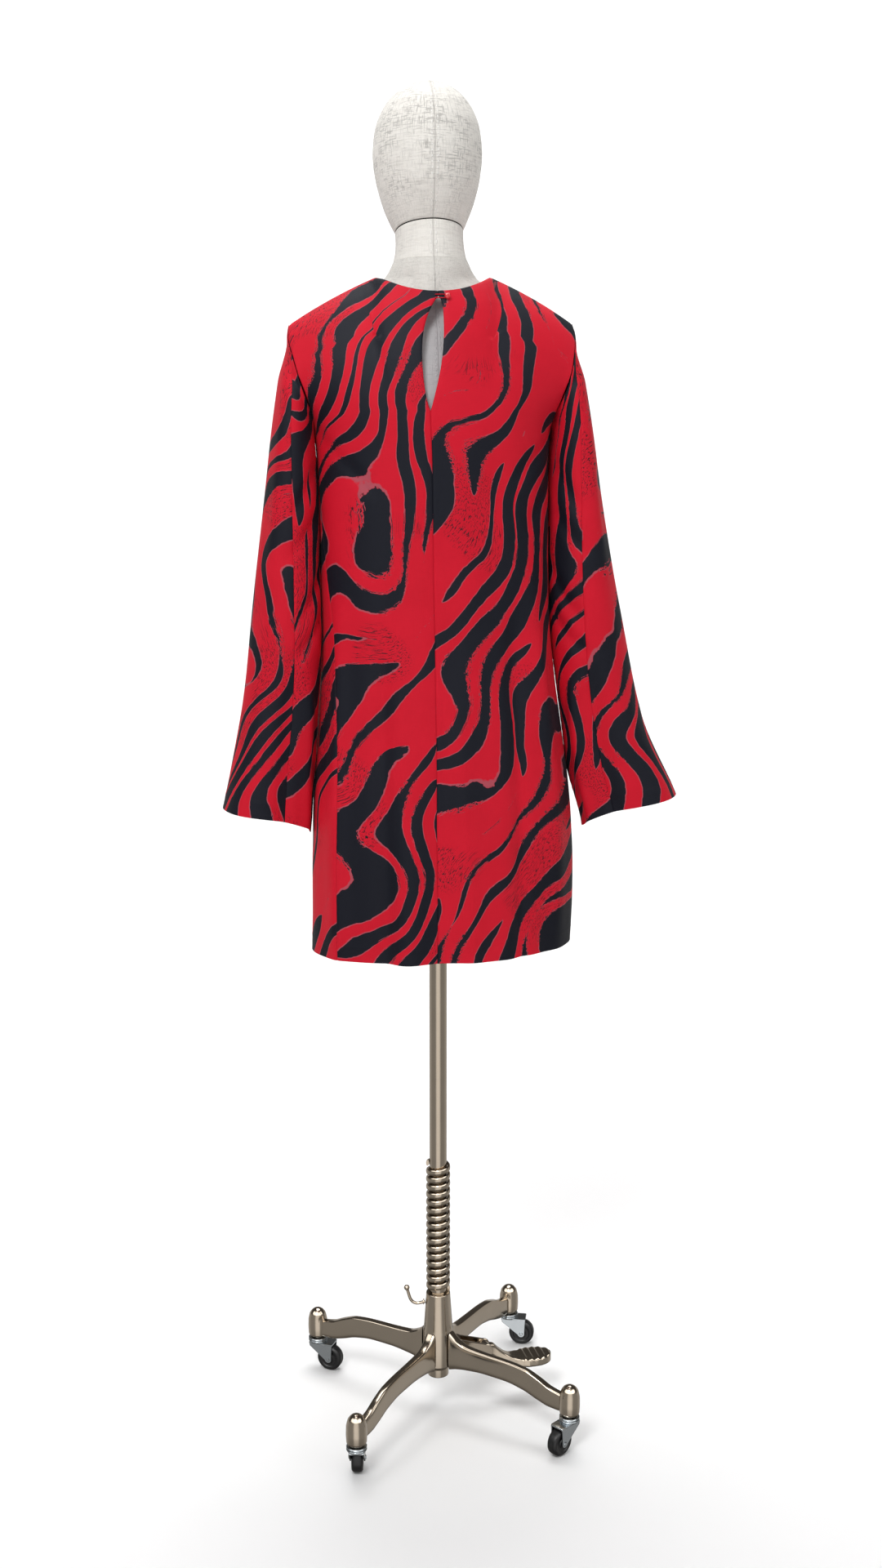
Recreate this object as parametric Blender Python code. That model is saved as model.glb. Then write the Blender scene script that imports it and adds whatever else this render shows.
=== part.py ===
"""Long-sleeved mini dress with a back keyhole, worn by a headed linen dress form on a castered stand.

Everything is in metres with +Z up. The origin is on the floor, under the middle of the whole object, a
little to one side of the pole. The back of the dress faces -Y. The cloth is a wall of even thickness, cut along its real seams.
"""
import math

import bmesh
import bpy
import numpy as np
from mathutils import Matrix, Vector

# ---------------------------------------------------------------- cloth and seams
CLOTH = 0.0016              # thickness of the cloth wall
SEAM_GAP = 0.0003           # space left between two pieces that touch
HEM_Z = 0.694
UNDERARM_Z = 1.375
SHOULDER_X, SHOULDER_Z = 0.181, 1.505
NECK_X, NECK_Z = 0.0725, 1.563
BACK_NECK_Y, BACK_NECK_Z = -0.0640, 1.541
FRONT_NECK_Y, FRONT_NECK_Z = 0.0830, 1.488
SECTION_POWER = 2.25        # how square a section of the body is; 2 is an ellipse

# Body of the dress below the underarm.
BODY = [
    # height, half width, back depth, front depth
    (0.694, 0.1730, 0.1180, 0.1220),
    (0.800, 0.1740, 0.1150, 0.1210),
    (0.900, 0.1695, 0.1120, 0.1200),
    (0.980, 0.1615, 0.1080, 0.1190),
    (1.060, 0.1530, 0.1040, 0.1190),
    (1.130, 0.1485, 0.1010, 0.1200),
    (1.200, 0.1480, 0.1000, 0.1220),
    (1.300, 0.1482, 0.1015, 0.1210),
    (1.345, 0.1490, 0.1025, 0.1160),
    (1.375, 0.1515, 0.1030, 0.1110),
]

# Armhole edge, from the underarm (level 0) to the shoulder point (level 1).
ARMHOLE = [
    # level, back half width, front half width
    (0.00, 0.1515, 0.1515),
    (0.10, 0.1530, 0.1515),
    (0.26, 0.1600, 0.1530),
    (0.47, 0.1700, 0.1590),
    (0.63, 0.1760, 0.1670),
    (0.90, 0.1825, 0.1795),
    (1.00, 0.1810, 0.1810),
]
ARMHOLE_BACK_REACH = 0.050
ARMHOLE_FRONT_REACH = 0.046
NECK_FAN = 0.050            # how far the columns of the grid fan out below the neckline

# Where the side seams run: degrees round from the side, towards the back. The dress hangs turned, so
# the left seam comes round to the back.
SIDE_SEAMS = [
    # height, left, right
    (0.694, 38.0, -5.0),
    (0.900, 37.0, -5.0),
    (1.060, 31.0, -4.0),
    (1.200, 17.0, -2.0),
    (1.300, 6.0, -1.0),
    (1.375, 0.0, 0.0),
]

# How far the dress hangs to the right of the form's middle, and its middle back seam to the right of that.
DRIFT = [
    # height, drift
    (0.694, 0.0005),
    (0.760, 0.0035),
    (0.850, 0.0050),
    (0.950, 0.0045),
    (1.060, 0.0025),
    (1.200, 0.0000),
    (1.480, 0.0000),
    (1.563, 0.0030),
]
MIDDLE_BACK = [
    # height, drift
    (0.694, -0.0155),
    (0.850, -0.0180),
    (0.950, -0.0165),
    (1.060, -0.0140),
    (1.200, -0.0117),
    (1.330, -0.0120),
    (1.395, -0.0132),
    (1.450, -0.0093),
    (1.500, -0.0044),
    (1.530, 0.0000),
]

# One sleeve below the armhole.
SLEEVE = [
    # height, inner x, outer x, half depth, middle y, turn of the seams (radians)
    (0.845, 0.1800, 0.3080, 0.0500, -0.012, 0.75),
    (0.900, 0.1752, 0.2930, 0.0460, -0.012, 0.68),
    (0.950, 0.1694, 0.2800, 0.0430, -0.012, 0.60),
    (1.030, 0.1594, 0.2610, 0.0420, -0.012, 0.52),
    (1.130, 0.1511, 0.2440, 0.0440, -0.012, 0.40),
    (1.200, 0.1505, 0.2325, 0.0470, -0.010, 0.33),
    (1.300, 0.1508, 0.2170, 0.0520, -0.006, 0.17),
    (1.375, 0.1540, 0.2065, 0.0540, -0.003, 0.06),
    (1.450, 0.1560, 0.1940, 0.0520, 0.000, 0.00),
    (1.500, 0.1570, 0.1850, 0.0500, 0.000, 0.00),
]
SLEEVE_SIDES = {
    # how far the sleeve swings out, how far its cuff flares, height of the cuff inside and outside
    "left": (0.965, 0.000, 0.853, 0.889),
    "right": (1.030, 0.022, 0.849, 0.889),
}

# Keyhole in the middle of the back.
KEYHOLE_BOTTOM_Z, KEYHOLE_TOP_Z = 1.395, 1.533
KEYHOLE_LEFT, KEYHOLE_RIGHT = 0.0142, 0.0120

# Soft flutes of the skirt and of the cuffs.
FLUTES = [
    # waves round the section, depth, starting angle (radians)
    (7, 0.0036, 0.9),
    (11, 0.0014, 2.1),
]
FLUTE_TOP_Z = 1.08
CUFF_FLUTES, CUFF_FLUTE_DEPTH = 3, 0.0022

# Grid of the panels.
SKIRT_ROWS, YOKE_ROWS = 13, 9
SHOULDER_COLUMNS, NECK_COLUMNS = 7, 4
SLEEVE_ROWS = 14
ARMHOLE_STEP = 0.0009                           # from the armhole edge out to the sleeve, at the shoulder
BACK_SLEEVE_SEAM, FRONT_SLEEVE_SEAM = 5, 17     # columns of the sleeve, of 2 * YOKE_ROWS

# ---------------------------------------------------------------- button and loop
BUTTON_X, BUTTON_Z = 0.0125, 1.5335
BUTTON_RADIUS, BUTTON_HEIGHT = 0.0038, 0.0062
SHANK_RADIUS, SHANK_HEIGHT = 0.0012, 0.0029
LOOP_WIRE = 0.0006
LOOP_LIFT = 0.0010

# ---------------------------------------------------------------- dress form
FORM_YAW = math.radians(6.5)        # the form stands turned on its pole
FORM_LEAN = math.radians(-0.7)      # and leans a little to its left
FORM_PIVOT_Z = 0.800
TORSO = [
    # height, half width, back depth, front depth, power
    (0.8014, 0.1480, 0.0930, 0.0940, 2.20),
    (0.8060, 0.1530, 0.0980, 0.0985, 2.20),
    (0.8400, 0.1580, 0.1010, 0.1020, 2.20),
    (0.9000, 0.1605, 0.1040, 0.1060, 2.20),
    (0.9600, 0.1530, 0.1020, 0.1050, 2.20),
    (1.0400, 0.1330, 0.0920, 0.0960, 2.15),
    (1.1100, 0.1180, 0.0800, 0.0880, 2.10),
    (1.2000, 0.1290, 0.0870, 0.1020, 2.15),
    (1.2800, 0.1400, 0.0945, 0.1150, 2.20),
    (1.3400, 0.1430, 0.0970, 0.1080, 2.20),
    (1.3750, 0.1440, 0.0970, 0.1000, 2.15),
    (1.4100, 0.1480, 0.0945, 0.0940, 2.05),
    (1.4400, 0.1570, 0.0890, 0.0890, 1.90),
    (1.4600, 0.1640, 0.0835, 0.0850, 1.80),
    (1.4820, 0.1710, 0.0765, 0.0800, 1.70),
    (1.4950, 0.1730, 0.0715, 0.0765, 1.65),
    (1.5040, 0.1760, 0.0640, 0.0680, 1.55),
    (1.5160, 0.1575, 0.0565, 0.0595, 1.60),
    (1.5316, 0.1310, 0.0480, 0.0485, 1.70),
    (1.5430, 0.1015, 0.0365, 0.0335, 1.80),
    (1.5520, 0.0775, 0.0320, 0.0295, 1.85),
    (1.5600, 0.0610, 0.0340, 0.0325, 1.95),
    (1.5690, 0.0535, 0.0410, 0.0430, 2.00),
    (1.5830, 0.0465, 0.0460, 0.0520, 2.00),
]
NECK = [
    # height, half width, half depth, middle y
    (1.5833, 0.0463, 0.0485, 0.0035),
    (1.5950, 0.0440, 0.0480, 0.0050),
    (1.6080, 0.0430, 0.0480, 0.0075),
    (1.6222, 0.0432, 0.0490, 0.0100),
]
HEAD = [
    # height, half width, half depth, middle y
    (1.6225, 0.0434, 0.0495, 0.0105),
    (1.6340, 0.0490, 0.0610, 0.0140),
    (1.6550, 0.0580, 0.0750, 0.0175),
    (1.6850, 0.0660, 0.0880, 0.0200),
    (1.7130, 0.0690, 0.0935, 0.0205),
    (1.7400, 0.0665, 0.0905, 0.0200),
    (1.7640, 0.0580, 0.0790, 0.0190),
    (1.7820, 0.0445, 0.0610, 0.0180),
    (1.7930, 0.0290, 0.0400, 0.0175),
    (1.7985, 0.0140, 0.0200, 0.0170),
]
HEAD_TOP_Z = 1.8000
NECK_CUT_RISE = 0.20                # the cut between neck and head rises towards the back
FORM_SIDES = 32

# ---------------------------------------------------------------- pole, spring and hub
STAND_X = -0.0190                   # the pole stands a little to one side of the middle of the whole object
POLE_RADIUS, POLE_WALL = 0.0120, 0.0019
COLUMN_RADIUS, COLUMN_TOP_Z = 0.0095, 0.500
POLE_FLANGE_RADIUS, POLE_FLANGE = 0.045, 0.004
HUB_TOP_Z, HUB_SOCKET_Z, HUB_BORE_Z, HUB_BOTTOM_Z = 0.1765, 0.1000, 0.0660, 0.0500
HUB_TOP_RADIUS, HUB_WAIST_RADIUS, HUB_FOOT_RADIUS, HUB_BOSS_RADIUS = 0.0170, 0.0205, 0.0215, 0.0150
RUNNING_GAP = 0.00045               # between round pieces that slide or turn in each other
SPRING_TURNS, SPRING_PITCH = 16.5, 0.01145
SPRING_MIDDLE_RADIUS, SPRING_WIRE_R, SPRING_WIRE_Z = 0.0149, 0.0021, 0.0043
SPRING_STEPS = 11                   # straight pieces in one turn of the spring
ROUND = 24                          # sides of the larger round pieces

# ---------------------------------------------------------------- legs and casters
LEG_COUNT = 4
FIRST_LEG_ANGLE = math.radians(-31.0)
STEM_RING_RADIUS = 0.210            # from the pole to each caster's stem
LEG = [
    # distance from the pole, top height, bottom height, width
    (0.0219, 0.1200, 0.0640, 0.0158),
    (0.0320, 0.1110, 0.0670, 0.0148),
    (0.0480, 0.1045, 0.0700, 0.0140),
    (0.0780, 0.1025, 0.0725, 0.0128),
    (0.1100, 0.1015, 0.0720, 0.0122),
    (0.1400, 0.0985, 0.0670, 0.0122),
    (0.1630, 0.0905, 0.0590, 0.0126),
    (0.1800, 0.0825, 0.0545, 0.0130),
    (0.2000, 0.0775, 0.0530, 0.0130),
]
LEG_CHAMFER = 0.0030
CAP = [
    # radius, height
    (0.0122, 0.0520),
    (0.0138, 0.0545),
    (0.0143, 0.0660),
    (0.0139, 0.0780),
    (0.0118, 0.0868),
    (0.0078, 0.0918),
    (0.0036, 0.0940),
]
CAP_TOP_Z = 0.0946
STEM_RADIUS, STEM_TOP_Z = 0.0045, 0.0690
CAP_SOCKET_RADIUS, CAP_SOCKET_Z = 0.0050, 0.0700
RACEWAY_RADIUS, RACEWAY_BOTTOM_Z, RACEWAY_TOP_Z = 0.0140, 0.0430, 0.0497
CASTER_TRAIL = 0.0200
FORK_WIDTH, FORK_PLATE = 0.0212, 0.0018
CROWN_BOTTOM_Z = 0.0402
FORK_END_RADIUS = 0.0052
AXLE_RADIUS, AXLE_LENGTH = 0.0030, 0.0240
WHEEL_RADIUS, WHEEL_WIDTH, WHEEL_BORE = 0.0190, 0.0160, 0.0035
WHEEL_SIDES = 18
CASTER_HEADINGS = [-135.0, -8.0, -20.0, 90.0]      # degrees: the way each wheel trails its stem
CAP_SIDES = 12

# ---------------------------------------------------------------- hook and pedal
HOOK_WIRE, HOOK_BALL = 0.0022, 0.0040
HOOK_ANGLE = math.radians(178.0)
HOOK_PATH = [
    # distance from the pole, height
    (0.0187, 0.1605),
    (0.0240, 0.1590),
    (0.0300, 0.1575),
    (0.0358, 0.1592),
    (0.0396, 0.1640),
    (0.0418, 0.1710),
    (0.0440, 0.1790),
]
PEDAL_ANGLE = math.radians(14.0)
PEDAL_PIVOT_R, PEDAL_PIVOT_Z = 0.0680, 0.0800
PEDAL_BARREL_RADIUS, PEDAL_BARREL_WIDTH, PEDAL_BORE = 0.0095, 0.0112, 0.0048
PEDAL_PIN_RADIUS = 0.0043
CHEEK_THICKNESS, CHEEK_RADIUS, CHEEK_GAP = 0.0040, 0.0105, 0.0120
PEDAL_ARM = [
    # distance from the pole, top height, bottom height, width
    (0.0690, 0.0870, 0.0735, 0.0105),
    (0.0800, 0.0860, 0.0690, 0.0105),
    (0.0900, 0.0770, 0.0610, 0.0120),
    (0.1000, 0.0690, 0.0540, 0.0150),
    (0.1080, 0.0650, 0.0515, 0.0220),
    (0.1160, 0.0630, 0.0505, 0.0300),
]
PAD_TOP_Z, PAD_BOTTOM_Z = 0.0620, 0.0500
PAD_START, PAD_END, PAD_WIDTH = 0.1220, 0.1680, 0.0390
PAD_RIBS, RIB_HEIGHT = 5, 0.0012

COLOURS = {
    # colour, roughness, metallic
    "print_cloth": ((0.58, 0.012, 0.028, 1.0), 0.55, 0.0),
    "linen": ((0.72, 0.69, 0.64, 1.0), 0.85, 0.0),
    "nickel": ((0.42, 0.37, 0.32, 1.0), 0.22, 1.0),
    "zinc": ((0.62, 0.64, 0.64, 1.0), 0.28, 1.0),
    "black_rubber": ((0.012, 0.012, 0.014, 1.0), 0.45, 0.0),
    "red_bead": ((0.62, 0.010, 0.030, 1.0), 0.15, 0.0),
}


# ================================================================ helpers
def clear_scene():
    for thing in list(bpy.data.objects):
        bpy.data.objects.remove(thing, do_unlink=True)


def material(name):
    """A Principled material from the table of colours, made once."""
    made = bpy.data.materials.get(name)
    if made is None:
        colour, roughness, metallic = COLOURS[name]
        made = bpy.data.materials.new(name)
        made.use_nodes = True
        shader = made.node_tree.nodes["Principled BSDF"]
        shader.inputs["Base Color"].default_value = colour
        shader.inputs["Roughness"].default_value = roughness
        shader.inputs["Metallic"].default_value = metallic
    return made


def add_piece(name, points, faces, finish, parent=None, matrix=None):
    """Make one named object from points and faces, shaded smooth up to 35 degrees."""
    mesh = bpy.data.meshes.new(name)
    mesh.from_pydata([tuple(map(float, point)) for point in points], [], faces)
    mesh.validate()
    mesh.shade_smooth()
    mesh.set_sharp_from_angle(angle=math.radians(35.0))
    piece = bpy.data.objects.new(name, mesh)
    bpy.context.collection.objects.link(piece)
    mesh.materials.append(material(finish))
    piece.parent = parent
    if matrix is not None:
        piece.matrix_local = matrix
    return piece


def add_empty(name, matrix, parent=None):
    empty = bpy.data.objects.new(name, None)
    bpy.context.collection.objects.link(empty)
    empty.parent = parent
    empty.matrix_local = matrix
    return empty


def union(piece, *others):
    """Weld other solids into a piece with an exact Boolean each, and hide them."""
    for other in others:
        other.hide_render = True
        other.display_type = "WIRE"
        weld = piece.modifiers.new("weld_" + other.name, "BOOLEAN")
        weld.operation = "UNION"
        weld.solver = "EXACT"
        weld.object = other
    return piece


def cut(piece, *others):
    """Cut other solids out of a piece with an exact Boolean each, and hide them."""
    for other in others:
        other.hide_render = True
        other.display_type = "WIRE"
        groove = piece.modifiers.new("cut_" + other.name, "BOOLEAN")
        groove.operation = "DIFFERENCE"
        groove.solver = "EXACT"
        groove.object = other
    return piece


def column_at(table, column, at):
    """Read a column of a table at values of its first column, along a smooth curve with no overshoot."""
    known = np.array([row[0] for row in table])
    values = np.array([row[column] for row in table])
    step = np.diff(known)
    slope = np.diff(values) / step
    tangent = np.concatenate([[slope[0]], np.zeros(len(slope) - 1), [slope[-1]]])
    before, after = slope[:-1], slope[1:]
    same_way = before * after > 0
    near, far = 2 * step[1:] + step[:-1], step[1:] + 2 * step[:-1]
    with np.errstate(divide="ignore", invalid="ignore"):
        mean = (near + far) / (near / before + far / after)
    tangent[1:-1] = np.where(same_way, mean, 0.0)
    at = np.clip(np.asarray(at, float), known[0], known[-1])
    row = np.clip(np.searchsorted(known, at, side="right") - 1, 0, len(step) - 1)
    part = (at - known[row]) / step[row]
    return (values[row] * (1 + 2 * part) * (1 - part) ** 2
            + values[row + 1] * part ** 2 * (3 - 2 * part)
            + step[row] * part * (1 - part) * (tangent[row] * (1 - part) - tangent[row + 1] * part))


def unit(vectors):
    return vectors / np.maximum(np.linalg.norm(vectors, axis=-1, keepdims=True), 1e-12)


def smooth_step(part):
    part = np.clip(part, 0.0, 1.0)
    return part * part * (3.0 - 2.0 * part)


def ring_faces(rings, sides, loop_rings=False):
    """Quads between rings of points that follow one another; the rings run anticlockwise, going up."""
    faces = []
    for ring in range(rings if loop_rings else rings - 1):
        low, high = ring * sides, ((ring + 1) % rings) * sides
        for side in range(sides):
            turn = (side + 1) % sides
            faces.append((low + side, low + turn, high + turn, high + side))
    return faces


def turned(profile, sides, phase=0.0):
    """Points and faces of a turned solid: (radius, height) pairs up its outer side, closed on the axis."""
    angles = phase + 2 * np.pi * np.arange(sides) / sides
    points, faces = [], []
    for radius, height in profile:
        ring = np.stack([radius * np.cos(angles), radius * np.sin(angles), np.full(sides, height)], 1)
        points.extend(ring)
    faces += ring_faces(len(profile), sides)
    faces.append(tuple(reversed(range(sides))))
    faces.append(tuple(range((len(profile) - 1) * sides, len(profile) * sides)))
    return points, faces


def turned_tube(profile, sides, phase=0.0):
    """Points and faces of a turned ring: a closed loop of (radius, height) pairs, up the outside first."""
    angles = phase + 2 * np.pi * np.arange(sides) / sides
    points = []
    for radius, height in profile:
        ring = np.stack([radius * np.cos(angles), radius * np.sin(angles), np.full(sides, height)], 1)
        points.extend(ring)
    return points, ring_faces(len(profile), sides, loop_rings=True)


def lofted(rings):
    """Points and faces of a solid through closed rings of points, capped at both ends."""
    count, sides = rings.shape[:2]
    faces = ring_faces(count, sides)
    faces.append(tuple(reversed(range(sides))))
    faces.append(tuple(range((count - 1) * sides, count * sides)))
    return rings.reshape(-1, 3), faces


def prism(outline, start, end):
    """Points and faces of a flat (x, z) outline, anticlockwise seen along +Y, carried from y=start to y=end."""
    points = [(x, start, z) for x, z in outline] + [(x, end, z) for x, z in outline]
    count = len(outline)
    faces = [tuple(range(count)), tuple(reversed(range(count, 2 * count)))]
    for corner in range(count):
        after = (corner + 1) % count
        faces.append((after, corner, corner + count, after + count))
    return points, faces


def bar(table, chamfer):
    """Points and faces of a bar along +X with chamfered edges, from (x, top, bottom, width) rows."""
    rings = []
    for reach, top, bottom, width in table:
        half, edge = width / 2, min(chamfer, width / 2 * 0.9, (top - bottom) * 0.45)
        outline = [(-half + edge, bottom), (half - edge, bottom), (half, bottom + edge), (half, top - edge),
                   (half - edge, top), (-half + edge, top), (-half, top - edge), (-half, bottom + edge)]
        rings.append([(reach, across, height) for across, height in outline])
    return lofted(np.array(rings))


def tube_along(path, radius, sides):
    """Points and faces of a round wire with flat ends along a path of points."""
    path = np.asarray(path, float)
    along = unit(np.gradient(path, axis=0))
    reference = np.array([0.0, 0.0, 1.0]) if abs(along[0][2]) < 0.9 else np.array([1.0, 0.0, 0.0])
    rings = []
    for point, way in zip(path, along):
        first = unit(np.cross(reference, way))
        reference = np.cross(way, first)
        angles = 2 * np.pi * np.arange(sides) / sides
        rings.append(point + radius * (np.outer(np.cos(angles), first) + np.outer(np.sin(angles), reference)))
    return lofted(np.array(rings))


# ================================================================ surface of the dress
def section_x(turn):
    """Share of the half width at an angle round from the side."""
    return np.cos(turn) ** (2.0 / SECTION_POWER)


def section_y(turn):
    """Share of the depth at an angle round from the side, with its sign."""
    return np.sign(turn) * np.abs(np.sin(turn)) ** (2.0 / SECTION_POWER)


NECK_TURN = math.acos((NECK_X / SHOULDER_X) ** (SECTION_POWER / 2.0))


def flute(points):
    """Push the skirt out and in by its soft flutes, which die out upwards."""
    x, y, z = points[..., 0], points[..., 1], points[..., 2]
    round_angle = np.arctan2(y, x)
    push = sum(depth * np.cos(waves * round_angle + start) for waves, depth, start in FLUTES)
    fade = smooth_step((FLUTE_TOP_Z - z) / (FLUTE_TOP_Z - HEM_Z)) ** 1.5
    scale = 1.0 + push * fade / np.hypot(x, y)
    return np.stack([x * scale, y * scale, z], axis=-1)


def armhole_level(part):
    """Level of a row above the underarm; the rows crowd together where the shoulder rounds over."""
    return 0.25 * part + 0.75 * np.sin(np.pi / 2 * part)


def body_low(turn, height):
    """Right half of the body below the underarm. turn: 0 at the side, + to the back, - to the front."""
    width = column_at(BODY, 1, height)
    depth = np.where(turn >= 0, column_at(BODY, 2, height), column_at(BODY, 3, height))
    return np.stack([width * section_x(turn), -depth * section_y(turn), height + 0 * turn], axis=-1)


def top_edge(turn, back):
    """Shoulder seam out of the neck point, and the neckline inside it: its y and height."""
    x = SHOULDER_X * section_x(turn)
    along = (SHOULDER_X - x) / (SHOULDER_X - NECK_X)
    seam_z = SHOULDER_Z + (NECK_Z - SHOULDER_Z) * (along + 0.22 * along * (1 - along))
    inside = np.clip(x / NECK_X, 0.0, 1.0)
    middle_y, middle_z = (BACK_NECK_Y, BACK_NECK_Z) if back else (FRONT_NECK_Y, FRONT_NECK_Z)
    neck_z = middle_z + (NECK_Z - middle_z) * inside ** 2.2
    neck_y = middle_y * np.sqrt(np.maximum(1.0 - inside ** 2, 0.0))
    at_neck = x < NECK_X - 1e-9
    return np.where(at_neck, neck_y, 0.0), np.where(at_neck, neck_z, seam_z)


def fullness_power(turn):
    """How square the yoke is between the underarm and the top edge: squarer in the middle."""
    return 0.5 + 0.2 * smooth_step((turn - 0.6) / (np.pi / 2 - 0.6))


def body_high(turn, level, back):
    """Right half of the body above the underarm. level: 0 at the underarm, 1 at the shoulder seam."""
    level = np.clip(level, 0.0, 1.0)
    edge_x = column_at(ARMHOLE, 1 if back else 2, level)
    depth = BODY[-1][2] if back else BODY[-1][3]
    way = -1.0 if back else 1.0
    turn = np.maximum(turn if back else -turn, 0.0)
    low_y = way * depth * section_y(turn)
    edge_y, edge_z = top_edge(turn, back)
    y = edge_y + (low_y - edge_y) * (1.0 - level ** 2) ** fullness_power(turn)
    reach = ARMHOLE_BACK_REACH if back else ARMHOLE_FRONT_REACH
    scoop = way * reach * np.sin(np.pi * level ** 0.85) * (1.0 - turn / (np.pi / 2)) ** 4
    # The columns fan out from the neckline, and each point keeps to the same surface as it moves out.
    beside = smooth_step((turn / NECK_TURN - 0.4) / 0.6)
    inside = np.clip((turn - NECK_TURN) / (np.pi / 2 - NECK_TURN), 0.0, 1.0)
    fan = NECK_FAN * np.sqrt(1.0 - level ** 2) * level ** 4 * beside * np.cos(np.pi / 2 * inside)
    x = edge_x * section_x(turn) + fan
    moved = np.arccos(np.clip(x / edge_x, 0.0, 1.0) ** (SECTION_POWER / 2.0))
    fanned = fan > 1e-9
    low_y = way * depth * section_y(moved)
    moved_y, moved_z = top_edge(moved, back)
    part = np.clip((y - moved_y) / np.where(fanned, low_y - moved_y, 1.0), 0.0, 1.0)
    moved_level = np.sqrt(1.0 - part ** (1.0 / fullness_power(moved)))
    level, edge_z = np.where(fanned, moved_level, level), np.where(fanned, moved_z, edge_z)
    return np.stack([x, y + scoop, UNDERARM_Z + level * (edge_z - UNDERARM_Z)], axis=-1)


def keyhole_half_width(height, right):
    """Half opening of the keyhole: a drop, fuller above its middle."""
    part = np.clip((height - KEYHOLE_BOTTOM_Z) / (KEYHOLE_TOP_Z - KEYHOLE_BOTTOM_Z), 0.0, 1.0)
    return (KEYHOLE_RIGHT if right else KEYHOLE_LEFT) * np.abs(np.sin(np.pi * part ** 1.3)) ** 0.6


def body_surface(turn, storey, back, side):
    """A point of the body: storey 0 to 1 from hem to underarm, 1 to 2 from underarm to shoulder."""
    turn, storey = np.broadcast_arrays(np.asarray(turn, float), np.asarray(storey, float))
    low = body_low(turn, HEM_Z + (UNDERARM_Z - HEM_Z) * np.clip(storey, 0, 1))
    high = body_high(turn, armhole_level(np.clip(storey - 1, 0, 1)), back)
    points = np.where((storey <= 1)[..., None], low, high)
    if back:
        spread = keyhole_half_width(points[..., 2], side == "right")
        inside = np.clip((turn - NECK_TURN) / (np.pi / 2 - NECK_TURN), 0, 1)
        points[..., 0] += spread * inside ** 1.3
    if side == "left":
        points = points * np.array([-1.0, 1.0, 1.0])
    points = flute(points)
    drift = column_at(DRIFT, 1, points[..., 2])
    if back:
        drift = drift + column_at(MIDDLE_BACK, 1, points[..., 2]) * smooth_step((turn - 1.0) / (np.pi / 2 - 1.0))
    points[..., 0] += drift
    return points


def sleeve_surface(turn, drop, side):
    """A point of a sleeve. turn: 0 at the underarm, a quarter at the back; drop: 0 armhole, 1 cuff."""
    turn, drop = np.broadcast_arrays(np.asarray(turn, float), np.asarray(drop, float))
    level = armhole_level(1.0 - np.abs(turn / np.pi - 1.0))
    back_edge = body_high(0.0 * turn, level, True)
    front_edge = body_high(0.0 * turn, level, False)
    edge = np.where((turn <= np.pi)[..., None], back_edge, front_edge)
    # The sleeve starts just outside the armhole edge, by more where the two walls lie side by side.
    edge[..., 0] += ARMHOLE_STEP + (CLOTH + SEAM_GAP - ARMHOLE_STEP) * np.sqrt(1.0 - level ** 2)
    swing, flare, cuff_inner_z, cuff_outer_z = SLEEVE_SIDES[side]
    outer = (1.0 - np.cos(turn)) / 2.0
    cuff_z = cuff_inner_z + (cuff_outer_z - cuff_inner_z) * outer
    height = edge[..., 2] + drop * (cuff_z - edge[..., 2])
    inner_x, outer_x = column_at(SLEEVE, 1, height), column_at(SLEEVE, 2, height)
    lower = smooth_step((1.35 - height) / 0.35)
    flared = flare * smooth_step((1.00 - height) / 0.13)
    outer_x = inner_x + (outer_x - inner_x) * (1.0 + (swing - 1.0) * lower) + flared
    inner_x = inner_x + 0.6 * flare * smooth_step((0.94 - height) / 0.09)
    half_x, half_y = (outer_x - inner_x) / 2, column_at(SLEEVE, 3, height)
    eased = turn - column_at(SLEEVE, 5, height) * np.sin(turn)
    waves = CUFF_FLUTE_DEPTH * np.cos(CUFF_FLUTES * eased + 0.5) * smooth_step((1.02 - height) / 0.16)
    tube_x = (inner_x + outer_x) / 2 - (half_x + waves) * np.cos(eased)
    tube_y = column_at(SLEEVE, 4, height) - (half_y + waves) * np.sin(eased)
    freed = smooth_step((edge[..., 2] - height) / (0.035 + 0.035 * outer))
    x = edge[..., 0] + (tube_x - edge[..., 0]) * freed
    y = edge[..., 1] + (tube_y - edge[..., 1]) * freed
    x = (-x if side == "left" else x) + column_at(DRIFT, 1, height)
    return np.stack([x, y, height], axis=-1)


# ================================================================ panels of the dress
def half_turns():
    """Angles from the side to the centre, with a column at the neck point."""
    shoulder = NECK_TURN * np.linspace(0, 1, SHOULDER_COLUMNS + 1)
    neck = NECK_TURN + (np.pi / 2 - NECK_TURN) * np.linspace(0, 1, NECK_COLUMNS + 1) ** 1.5
    return np.concatenate([shoulder, neck[1:]])


def storeys():
    """Rows from the hem (0) through the underarm (1) to the shoulder (2)."""
    low = np.linspace(0, 1, SKIRT_ROWS + 1)
    high = 1 + np.linspace(0, 1, YOKE_ROWS + 1)
    return np.concatenate([low, high[1:]])


def seam_angles(side, rows):
    """Angle of a side seam at each row, in radians round to the back."""
    heights = HEM_Z + (UNDERARM_Z - HEM_Z) * np.clip(rows, 0, 1)
    return np.radians(column_at(SIDE_SEAMS, 1 if side == "left" else 2, heights))


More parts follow.
